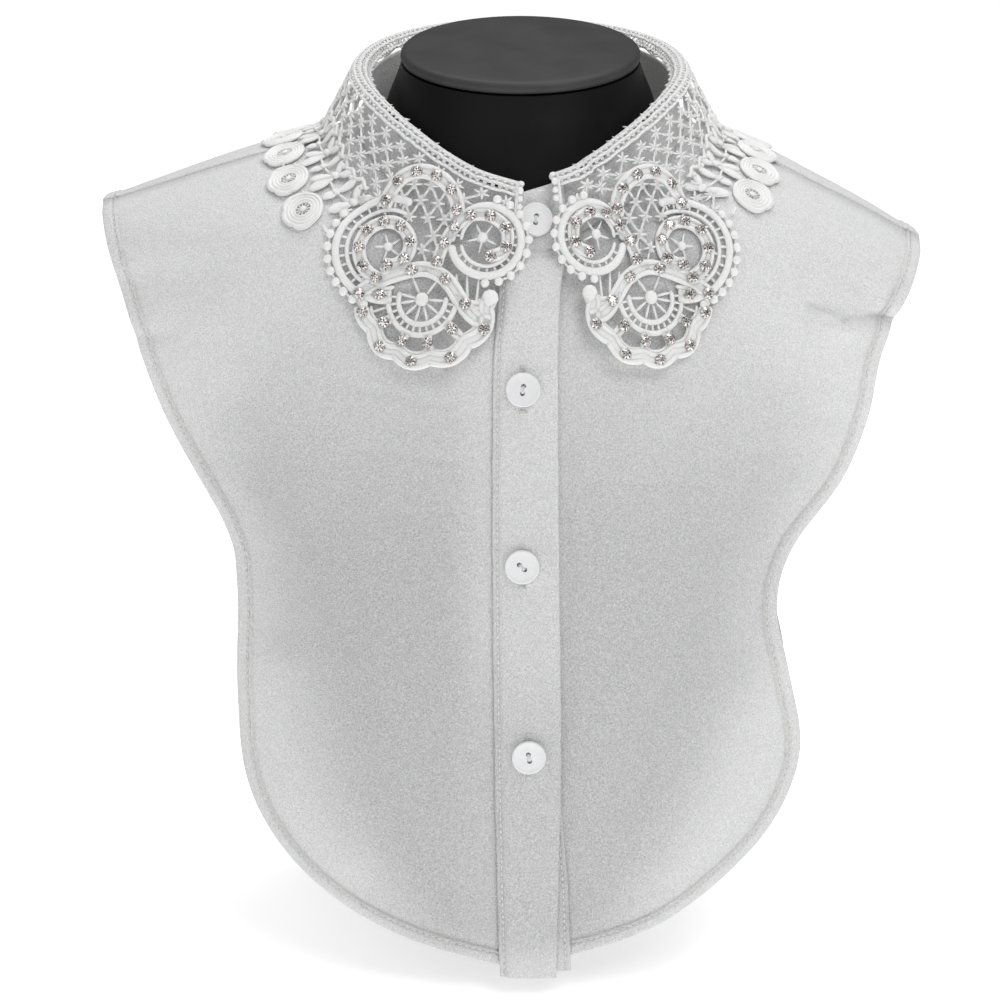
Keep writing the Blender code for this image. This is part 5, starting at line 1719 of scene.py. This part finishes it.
def spaced_along(line, pitch, start, end=0.0):
    """Places at an even pitch along a line, the first at start from its beginning."""
    run = measured(line)
    count = max(int(round((run[-1] - start - end) / pitch)), 1)
    at = np.linspace(start, run[-1] - end, count + 1)
    return places_at(at, run, line)


def draw_fan(motif, stones):
    """A ball on spokes inside two arcs with rungs, and a scalloped braid with windows round them."""
    motif.bead(FAN, 2.7, 2.2)
    low, high = FAN_ARCS
    for turn in (-2, 33, 66, 99, 132, 166, 188, 236, 302):
        motif.bar(around(turn, 2.2), around(turn, low), 1.0, 1.0)
    motif.cord(arc(FAN, low, -10, 192), 2.0)
    motif.cord(arc(FAN, high, -14, 190), 2.0)
    motif.ladder(FAN, low, high, 4, 180, 13.5, RUNG_WIDTH)
    turns = np.arange(-7, 168, 2.0)
    motif.band(around(turns, fan_reach(turns) - BRAID_WIDTH / 2))
    motif.cord(around(turns, fan_reach(turns) - 6.4), 1.2, 1.1)
    for turn in np.arange(FAN_WINDOWS) * FAN_PITCH:
        outer = float(fan_reach(turn)) - 4.0
        for side in (-1, 1):
            wall = np.linspace(around(turn + side * 4.2, high), around(turn + side * 2.6, outer), 8)
            motif.cord(wall, 1.7, 1.5)
        motif.cord(np.linspace(around(turn, high + 0.6), around(turn, outer), 8), 2.4, 0.9)
        stones.append(around(turn, 16.6))
    for turn in FAN_PITCH / 2 + np.arange(FAN_WINDOWS - 1) * FAN_PITCH:
        stones.append(around(turn, float(fan_reach(turn)) - 3.1))


def draw_ring(motif, centre, ring, inset, turns, inset_turns, inset_width, rungs):
    """A thick cord round a centre with a thinner one inside it, and rungs between them."""
    motif.cord(arc(centre, ring, *turns), *RING_CORD)
    motif.cord(arc(centre, ring - inset, *inset_turns), inset_width)
    motif.ladder(centre, ring - inset, ring, *rungs, RUNG_WIDTH)


def draw_hub(motif, centre, radius, rise, turns, reach):
    """A small star: a bead with spokes."""
    motif.bead(centre, radius, rise)
    for turn in turns:
        motif.bar(centre, centre + around(turn, reach), SPOKE_WIDTH)


def draw_picots(motif, centre, ring, reach, turns, radius, links):
    """Beads on short bars round a ring, with that many links between them."""
    places = [centre + around(turn, reach) for turn in turns]
    for k, (turn, place) in enumerate(zip(turns, places)):
        motif.bead(place, radius, PICOT_RISE)
        motif.bar(centre + around(turn, ring), place, PICOT_BAR)
        if k < links:
            motif.bar(place, places[k + 1], *PICOT_LINK)


def draw_outer_lobe(motif, stones):
    """A ladder ring with picots round a spiral braid, which has a star in its middle."""
    draw_ring(motif, OUTER_LOBE, OUTER_RING, 4.3, (74, 292), (68, 296), 1.6, (80, 290, 12.0))
    spiral = arc(SPIRAL_CENTRE, (12.2, 6.4), 88, 462)
    motif.band(spiral, 5.2, 1.7)
    stones.extend(spaced_along(spiral, STONE_PITCH, 3.0, 2.0))
    draw_hub(motif, SPIRAL_CENTRE, 1.7, 1.8, (30, 102, 174, 246, 318), 5.0)
    for turn in (120, 165, 210, 255):
        spiral_edge, ring_edge = around(turn, 12.0), around(turn, OUTER_RING - 4.0)
        motif.bar(SPIRAL_CENTRE + spiral_edge, OUTER_LOBE + ring_edge, SPOKE_WIDTH)
    draw_picots(motif, OUTER_LOBE, OUTER_RING, OUTER_PICOTS, np.arange(103, 218, 12), 1.75, 9)


def draw_inner_lobe(motif, stones):
    """A ladder ring with picots round the stem braid's curl, with a star and a large bead below."""
    draw_ring(motif, INNER_LOBE, INNER_RING, 3.6, (-188, 166), (-184, 164), 1.4, (-176, 160, 16))
    stem = curve(STEM)
    motif.band(stem, 4.8, 1.6)
    stones.extend(spaced_along(stem, STONE_PITCH, 2.0, 1.0))
    draw_hub(motif, INNER_LOBE + [-1.5, -1.0], 2.0, 1.9, (20, 95, 160, 235, 300), 5.6)
    draw_picots(motif, INNER_LOBE, INNER_RING, INNER_PICOTS, np.arange(-84, 84, 18.5), 1.7, 8)
    motif.bead(around(FAN_END, float(fan_reach(FAN_END)) - BRAID_WIDTH / 2), 3.2, 2.5)


def draw_braids(motif, stones):
    """The arch at the top, the braid across the middle, and the star net that they enclose."""
    arch, middle = curve(ARCH), curve(MIDDLE)
    motif.band(arch)
    motif.band(middle)
    stones.extend(spaced_along(arch, STONE_PITCH + 1.2, 3.0, 3.0))
    stones.extend(spaced_along(middle, STONE_PITCH, 2.0, 3.0))
    stem = curve(STEM)
    low_stem = stem[(stem[:, 0] < 8.3) & (stem[:, 1] > -29)]
    region = np.concatenate([arch, middle[middle[:, 0] < 1.5], low_stem])

    def allowed(points):
        outside = np.hypot(*(points - SPIRAL_CENTRE).T) > 12.6
        return within(points, region) & outside

    motif.net(3.3, 6.0, allowed, (-26, -50), (14, 0), ((0, 2.9), (90, 1.7), (62, 2.4), (118, 2.4)), 1.0)
    for start, end in BRIDES:
        motif.bar(start, end, BRIDE_WIDTH)


def rosette():
    """A tab: round ridges about an oval hole, lobes round its outer half, and a spoked centre."""
    tab = Drawing()
    turns = np.linspace(0, 2 * math.pi, ROSETTE_SIDES, endpoint=False)
    ridges = np.linspace(0, 1, 17)
    height = 0.5 + 0.85 * np.abs(np.sin(math.pi * ROSETTE_RIDGES * ridges + 0.5)) * (0.85 + 0.3 * ridges)
    section = [(0.0, 0.0)] + list(zip(ridges, height)) + [(1.0, 0.0)]
    outside = ease(np.sin(turns), -0.35, 0.15)
    lobes = ROSETTE_RADIUS * (0.9 + 0.1 * outside * np.abs(np.sin(3.0 * turns)) ** 0.6)
    half_wide, half_tall = ROSETTE_HOLE
    oval = np.hypot(half_wide * np.cos(turns), half_tall * np.sin(turns))
    points = []
    for share, rise in section:
        edge = ROSETTE_RADIUS * 0.9 * (1 - share**2) + lobes * share**2
        reach = oval + (edge - oval) * share
        points.append(around_axis(reach, turns, rise))
    points = np.concatenate(points)
    tab.add(points, [faces_between(len(section), ROSETTE_SIDES, True)])
    for turn in np.arange(0, 360, ROSETTE_SPOKE_TURN):
        tab.bar(around(turn, 0.8), around(turn, 3.2) * [0.9, 1.05], 0.6, 0.8, 0.15, 4)
    tab.bead((0, 0), 1.3, 1.4, 0.1)
    return tab


class LaceHalf:
    """One half of the lace: drawn flat, then laid on its surface."""

    def __init__(self, side):
        self.surface = LaceSurface(side)
        self.pile = Drawing()
        self.p, self.q = np.arange(-66, 46, 1.0), np.arange(-78, 36, 1.0)
        p, q = np.meshgrid(self.p * self.surface.motif_width, self.q, indexing="ij")
        self.placed = np.stack(self.surface.walk(self.surface.motif, p, q, plumb=True), -1)
        self.stones = []
        self.draw_motif()
        self.draw_collar()

    def place_motif(self, points):
        return between(self.placed, points[:, 0] - self.p[0], points[:, 1] - self.q[0])

    def in_motif_coordinates(self, places):
        """The nearest motif coordinates of places given along and down."""
        grid = self.placed.reshape(-1, 2)
        found = []
        for place in places:
            nearest = int(((grid - place) ** 2).sum(-1).argmin())
            found.append((self.p[nearest // len(self.q)], self.q[nearest % len(self.q)]))
        return np.array(found)

    def lay(self, drawing, space):
        points = drawing.all_points().copy()
        points[:, :2] = space(points[:, :2])
        self.pile.add(points, drawing.faces)

    def draw_motif(self):
        motif, stones = Drawing(), []
        draw_fan(motif, stones)
        draw_outer_lobe(motif, stones)
        draw_inner_lobe(motif, stones)
        draw_braids(motif, stones)
        self.lay(motif, self.place_motif)
        apart = []
        for stone in stones:
            if all(math.dist(stone, other) > STONES_APART for other in apart):
                apart.append(stone)
        self.stones = self.place_motif(np.array(apart))

    def border(self, along):
        return tab_depth(self.surface, along) - NET_ABOVE_TABS

    def draw_collar(self):
        surface = self.surface
        collar = Drawing()
        end = surface.end - CENTRE_BACK_GAP
        arch, middle = curve(ARCH), curve(MIDDLE)
        region = np.concatenate([arch, middle])

        def allowed(places):
            along, down = places.T
            inside = (down > EDGE_ROWS[-1] - 0.2) & (along > surface.front_end + 0.4) & (along < end - 0.4)
            past = along > surface.first_tab - 6
            inside &= np.where(past, down < self.border(along) - 0.6, down < 52)
            near = self.in_motif_coordinates(places)
            clear = np.hypot(*(near - OUTER_LOBE).T) > OUTER_RING + 0.6
            clear &= np.hypot(*(near - INNER_LOBE).T) > INNER_RING + 0.6
            clear &= (np.hypot(*near.T) > 24) | (near[:, 1] < 0)
            clear &= ~within(near, region) & ((near[:, 1] < -16) | (near[:, 0] < -20))
            return inside & clear

        arms = ((0, 2.6), (64, 2.4), (-64, 2.4))
        collar.net(4.1, 4.1, allowed, (surface.front_end, 0), (end, 54), arms, 0.8)
        self.draw_fold_edge(collar, end)
        self.draw_borders(collar, end)
        self.draw_leaves(collar)
        self.lay(collar, lambda points: points)
        template = rosette()
        for tab in tab_places(surface):
            points = template.all_points().copy()
            along, down = surface.walk(tab, points[:, 0], points[:, 1])
            points[:, 0], points[:, 1] = np.minimum(along, end), down
            self.pile.add(points, template.faces)

    def draw_fold_edge(self, collar, end):
        """Rows of cord along the fold joined by slanting threads, and frayed ends, longest at the front."""
        first = self.surface.front_end
        along = np.arange(first, end, EDGE_STEP)
        collar.cord(np.stack([along, 0.7 + 0.15 * waves(along, 5.1, 1)], -1), *EDGE_CORD, sides=6)
        for row, (above, below) in enumerate(zip(EDGE_ROWS, EDGE_ROWS[1:])):
            wave = 0.2 * waves(along, 4.3 + row, row)
            collar.cord(np.stack([along, below + wave], -1), *ROW_CORD, sides=6)
            for k, at in enumerate(np.arange(first + 0.6, end - 1, ROW_PITCH)):
                lean = ROW_LEAN if (k + row) % 2 else -ROW_LEAN
                collar.bar((at, above), (at + lean, below), *ROW_THREAD, count=3)
        share = np.linspace(0, 1, 4)[:, None]
        for k, at in enumerate(np.arange(first + 0.8, end - 0.8, FRINGE_PITCH)):
            tall = 0.8 + 0.5 * abs(math.sin(k * 2.3)) + 0.8 * (math.sin(k * 1.1) > 0.7)
            tall *= 1.7 - 1.1 * float(ease(at, *FRINGE_SHORTENS))
            lean = 1.2 * math.sin(k * 1.7)
            start, top = np.array([at, 1.0, 0.7]), np.array([at + lean, 0.4, 0.9 + tall])
            collar.add(*sweep(start * (1 - share) + top * share, (0, 1, 0), *FRINGE_THREAD, 5))

    def front_edge(self, down):
        """The front edge's place along, which leans forward a little on its way down."""
        return self.surface.front_end - FRONT_LEAN * ease(down, 4, FRONT_EDGE_FOOT)

    def draw_borders(self, collar, end):
        """Cords down the centre back and down the front, and the net's lower border, with their beads."""
        first_tab = self.surface.first_tab
        down = np.arange(0.5, TAB_DEPTH_BACK - 6, 1.5)
        collar.cord(np.stack([np.full(len(down), end - 0.8), down], -1), *EDGE_CORD, sides=6)
        along = np.arange(first_tab - 7, end - 0.8, 0.9)
        wave = 0.9 * np.cos((along - first_tab) / TAB_PITCH * 2 * math.pi * 3)
        collar.cord(np.stack([along, self.border(along) + wave], -1), 1.5, 1.3)
        for at in np.arange(first_tab - 4.3, end - 2, TAB_PITCH / 3):
            collar.bead((at, float(self.border(at)) + 1.6), 1.15, 1.5)
        down = np.arange(0.5, FRONT_EDGE_FOOT, 1.2)
        collar.cord(np.stack([self.front_edge(down) + 0.5, down], -1), *EDGE_CORD, sides=6)
        for at in np.arange(1.6, FRONT_EDGE_FOOT - 1, 2.9):
            collar.bead((float(self.front_edge(at)) - 0.7, at), 1.25, 1.6)

    def draw_leaves(self, collar):
        """Pairs of leaves and brides that join the rosette tabs to the net's border."""
        tabs = tab_places(self.surface)
        first = (tabs[0][0] - (tabs[1][0] - tabs[0][0]), tabs[0][1] + 1.5)
        nodes = []
        for (a0, d0), (a1, d1) in zip([first] + tabs, tabs):
            node = np.array([(a0 + a1) / 2, (d0 + d1) / 2 - LEAVES_ABOVE_TABS])
            nodes.append(node)
            across, up = LOW_LEAF_TIP
            collar.petal(node, (a1 - across, d1 - up), LOW_LEAF)
            if a0 > first[0] + 1:
                collar.petal(node, (a0 + across, d0 - up), LOW_LEAF)
            across, up = HIGH_LEAF_TIP
            for side in (-1, 1):
                collar.petal(node, node + [side * across, -up], HIGH_LEAF)
            collar.bead(node, 1.7, 1.8)
        for (a, d), node in zip(tabs, nodes):
            place = np.array([a, d - SPRIG_ABOVE_TABS])
            collar.petal((a, d - TAB_RADIUS), place, 2.9)
            collar.bead(place, 1.4, 1.7)
            collar.petal(place, (a, self.border(a)), 3.0)
            collar.bar(place, node + [1.6, 1.2], LEAF_BRIDE)
            collar.bar(place, place + [TAB_PITCH / 2 - 1.6, -1.8], LEAF_BRIDE)
            for side in (-1, 1):
                collar.bar((a + side * 7.0, d - 1.5), (a + side * 10.0, d - 0.6), TAB_BRIDE)

    def piece(self, name, finish, replaced):
        points = self.surface.lifted(self.pile.all_points())
        return add_piece(name, face_outward(self.pile.mesh(name, points)), finish, (replaced,))


# Rhinestones

STONE_RADIUS = 1.9
STONE_LIFT = 0.85
TABLE_REACH, TABLE_RISE = 1.02, 1.62
STAR_REACH, STAR_RISE = 1.44, 1.42
GIRDLE_RISE = 0.95
CUP_RADIUS = 2.04
CUP_RISE = 0.5
CLAW = ((2.18, 0.2), (2.24, 0.9), (1.94, 1.35), (1.48, 1.5))


def stone_shape():
    """A round crystal: table, star facets, crown and girdle, with the painted reflection tone of each face.
    """
    eighths = np.linspace(0, 2 * math.pi, 8, endpoint=False)
    table = around_axis(TABLE_REACH, eighths, TABLE_RISE)
    star = around_axis(STAR_REACH, eighths + math.pi / 8, STAR_RISE)
    girdle = around_axis(STONE_RADIUS, np.linspace(0, 2 * math.pi, 16, endpoint=False), GIRDLE_RISE)
    points = np.concatenate([[[0, 0, TABLE_RISE]], table, star, girdle, [[0, 0, 0.1]]])
    faces, glints = [], []
    # Painted reflection tones for the table faces, then for each face in turn.
    table_glints = (0.95, 0.1, 0.7, 0.3)
    for k in range(8):
        after = (k + 1) % 8
        t0, t1, s0, s1 = 1 + k, 1 + after, 9 + k, 9 + (k - 1) % 8
        g0, g1, g2 = 17 + 2 * k, 17 + (2 * k + 1) % 16, 17 + (2 * k + 2) % 16
        before = 17 + (2 * k - 1) % 16
        faces += [(0, t0, t1), (t0, s0, t1), (t0, before, g0), (t0, g0, g1), (t0, s1, before), (t0, g1, s0)]
        glints += [table_glints[k % 4], 0.55 + 0.4 * (k % 2), 0.25, 0.8, 0.45, 0.9]
        faces += [(g0, 33, g1), (g1, 33, g2)]
        glints += [0.3, 0.6]
    return points, faces, glints


def stones_and_cups(halves, crystal_finish, silver_finish):
    """All rhinestones, each turned its own way, and the claw cups that hold them."""
    shape, faces, glints = stone_shape()
    stones, cups, facets = Pile(), Pile(), []
    chance = np.random.default_rng(7)
    circle = np.linspace(0, 2 * math.pi, 14, endpoint=False)
    for half in halves:
        surface = half.surface
        for along, down in half.stones:
            low = surface.lifted(np.array([[along, down, STONE_LIFT]]))[0]
            normal = unit(surface.at(along, down, surface.normals))
            tilt = unit(normal + chance.normal(0, 0.05, 3))
            side = unit(np.cross(tilt, [0.3, 0.2, 1.0]))
            spin = chance.uniform(0, 2 * math.pi)
            u = side * math.cos(spin) + np.cross(tilt, side) * math.sin(spin)
            v = np.cross(tilt, u)
            frame = np.stack([u, v, tilt])
            stones.add(shape @ frame + low, [[face] for face in faces])
            # Each stone's painted reflection tones, varied a little.
            facets += list(np.clip(np.array(glints) + chance.normal(0, 0.22, len(glints)), 0, 1))
            wall = around_axis(CUP_RADIUS, circle, CUP_RISE)
            cups.add(*transformed(sweep(wall, (0, 0, 1), 0.42, 1.0, 6, True), frame, low))
            for turn in np.radians((45, 135, 225, 315)):
                line = [around_axis(reach, turn, rise) for reach, rise in CLAW]
                cups.add(*transformed(sweep(line, (0, 0, 1), 0.62, 0.4, 6), frame, low))
    mesh = stones.mesh("rhinestones")
    # The painted reflection tone of each face.
    tone = mesh.attributes.new("painted_glint", "FLOAT", "FACE")
    tone.data.foreach_set("value", np.array(facets, np.float32))
    crystals = add_piece("rhinestones", mesh, crystal_finish)
    mesh.shade_flat()
    add_piece("claw_cups", cups.mesh("claw_cups"), silver_finish)
    return crystals


def transformed(made, frame, place):
    points, faces = made
    return points @ frame + place, faces


# Bust form

def inside_cloth(x, y, z):
    """True where a point is inside the worn cloth by the form's clearance."""
    reach_front = RIDGE_DEPTH - flat_front(x, z) - FORM_CLEAR
    reach_back = flat_back(x, z) - RIDGE_DEPTH - FORM_CLEAR
    reach = np.where(y > RIDGE_DEPTH, reach_back, reach_front)
    turned = ridge_round(x)
    above = np.maximum(z + FORM_CLEAR_TOP - ridge_height(x) + turned, 0) / turned
    return ((y - RIDGE_DEPTH) / reach) ** 2 + above**2 < 1


def form_section(z, count):
    """A horizontal section of the form: its own oval, taken in where the cloth lies on it."""
    turn = np.linspace(0, 360, count, endpoint=False)
    half_width, front, back = (float(read(FORM, name, z)) for name in FORM[0][1:])
    x, y = ring(turn, (half_width, front, back))
    low, high = np.zeros(count), np.ones(count)
    for _ in range(26):
        middle = (low + high) / 2
        fits = inside_cloth(x * middle, y * middle, z)
        low, high = np.where(fits, middle, low), np.where(fits, high, middle)
    body = np.where(inside_cloth(x, y, z), 1.0, low)
    x, y = x * body, y * body
    if z >= NECK[1][0]:
        neck_x, neck_y = ring(turn, [float(read(NECK, name, z)) for name in NECK[0][1:]])
        wider = np.hypot(neck_x, neck_y) > np.hypot(x, y)
        x, y = np.where(wider, neck_x, x), np.where(wider, neck_y, y)
    return x, y


def tilt_at(z):
    return math.tan(math.radians(NECK_TILT)) * ease(z, NECK_TILT_FROM, NECK[-1][0])


def bust_form(finish, count=144):
    """The bust from its flat foot to the top of its neck, which is cut at a slight forward tilt."""
    foot, trunk, neck = np.linspace(0, 5, 4), np.linspace(9, 262, 60), np.linspace(264.5, NECK[-1][0], 60)
    sections = []
    for z in np.concatenate([foot, trunk, neck]):
        x, y = form_section(z, count)
        sections.append(np.stack([x, y, z + tilt_at(z) * y], -1))
    ends = [np.arange(count)[None, ::-1], np.arange(count)[None] + (len(sections) - 1) * count]
    pile = Pile()
    pile.add(sections, [faces_between(len(sections), count)] + ends)
    mesh = face_outward(pile.mesh("form_skin"))
    obj = add_piece("form_skin", mesh, finish, ("bust_form",))
    mesh.set_sharp_from_angle(angle=SHARP_FROM)
    return obj


def form_cap(finish):
    """The padded cap on the neck: a turned disc with a rounded edge, scaled to the neck and tilted."""
    shoulder = CAP_THICK - CAP_DOME
    profile = [(0.0, CAP_THICK)]
    for share in (0.15, 0.3, 0.45, 0.6, 0.75, 0.86, 0.93):
        profile.append((CAP_HALF_WIDTH * share, CAP_THICK - CAP_DOME * share**2.2))
    for angle in (80, 65, 50, 35, 20, 5, -10, -25, -40):
        turn = math.radians(angle)
        reach = CAP_HALF_WIDTH - CAP_EDGE + CAP_EDGE * math.cos(turn)
        profile.append((reach, shoulder - CAP_EDGE + CAP_EDGE * math.sin(turn)))
    profile += [(CAP_HALF_WIDTH - 0.9, 0.35), (CAP_HALF_WIDTH - 1.4, 0.0), (0.0, 0.0)]
    deep = CAP_HALF_DEPTH / CAP_HALF_WIDTH
    obj = apply_modifiers(turned("form_cap_cover", profile, 128))
    neck_top = NECK[-1][0] + SEAM_GAP + 0.1
    middle = (NECK[-1][3] - NECK[-1][2]) / 2
    obj.data.transform(
        Matrix.Translation(Vector((0, middle, neck_top + math.tan(math.radians(NECK_TILT)) * middle)) * MM)
        @ Matrix.Rotation(math.radians(NECK_TILT), 4, "X")
        @ Matrix.Diagonal((1, deep, 1, 1))
    )
    return dress(obj, finish, ("form_cap",))


# Stage


# Places and sizes in metres, power in watts.
FLOOR_REACH = 9.0
LIGHTS = (
    ("name", "place", "aim", "size", "power"),
    ("key", (0.85, -1.5, 2.1), (0, 0, 0.2), (1.3, 1.3), 19.5),
    ("fill", (-1.2, -1.7, 1.5), (0, 0, 0.18), (1.4, 1.4), 6),
    ("top", (0.1, 0.35, 2.1), (0, 0, 0.25), (2.8, 1.2), 31),
)


def area_light(name, place, aim, size, power):
    data = bpy.data.lights.new(name, "AREA")
    data.shape = "RECTANGLE"
    data.size, data.size_y = size
    data.energy = power
    obj = put(name, data)
    obj.location = place
    obj.rotation_euler = (Vector(aim) - Vector(place)).to_track_quat("-Z", "Y").to_euler()


def stage():
    """The camera, a white floor and background, and large soft lights, stronger from the right."""
    scene = bpy.context.scene
    scene.view_settings.view_transform = "Standard"
    world = bpy.data.worlds.new("studio")
    scene.world = world
    world.use_nodes = True
    background = world.node_tree.nodes["Background"].inputs
    background["Color"].default_value = (1, 1, 1, 1)
    background["Strength"].default_value = 0.15
    floor_mesh = bpy.data.meshes.new("floor")
    corners = [(a * FLOOR_REACH, b * FLOOR_REACH, 0) for a, b in ((-1, -1), (1, -1), (1, 1), (-1, 1))]
    floor_mesh.from_pydata(corners, [], [(0, 1, 2, 3)])
    floor = put("floor", floor_mesh)
    floor_mesh.materials.append(floor_white("floor"))
    for light in LIGHTS[1:]:
        area_light(*light)
    camera_data = bpy.data.cameras.new("camera")
    camera_data.lens = LENS
    camera_data.sensor_width = SENSOR
    camera_data.clip_end = 50
    camera = put("camera", camera_data)
    camera.location = Vector(CAMERA_AT) * MM
    aim = Vector(CAMERA_AIM) - Vector(CAMERA_AT)
    camera.rotation_euler = aim.to_track_quat("-Z", "Y").to_euler()
    scene.camera = camera


def main():
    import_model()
    # The second colour is the cloth where the dark form shows through and where painted shade is laid.
    cloth = crepe("white_crepe", (0.895, 0.895, 0.9), (0.695, 0.695, 0.7), True)
    plain = crepe("white_crepe_stand", (0.9, 0.9, 0.9), (0.7, 0.7, 0.7), False)
    thread = thread_white("sewing_thread", (0.9, 0.895, 0.875), 2600)
    lace = thread_white("guipure_cotton", (0.91, 0.91, 0.9), 2200)
    plastic = pearl("button_plastic", (0.84, 0.845, 0.85))
    black = leather("form_leather", (0.004, 0.004, 0.0045), 0.5, 0.18)
    # The cap is a lighter copy of the form's leather: its lighter colour paints the light that its top
    # catches.
    cap_black_painted_lighter = leather("cap_leather_painted_lighter", (0.04, 0.04, 0.041), 0.55, 0.38)

    bust_form(black)
    form_cap(cap_black_painted_lighter)
    for side in (-1, 1):
        front_panel(side, cloth)
    back_panel(cloth)
    strip("lower", LOWER_STRIP_FOOT, lower_lift, cloth)
    strip("upper", UPPER_STRIP_FOOT, upper_lift, cloth)
    stand(plain)
    all_stitches(thread)
    buttonholes(thread)
    for name, x, z, hole_turn in BUTTONS[1:]:
        button(name, x, z, hole_turn, plastic, thread)
    halves = [LaceHalf(side) for side in (-1, 1)]
    for half, name in zip(halves, ("lace_left", "lace_right")):
        half.piece(name + "_guipure", lace, name)
    stones_and_cups(halves, crystal("crystal"), silver("claw_silver"))
    stage()


main()
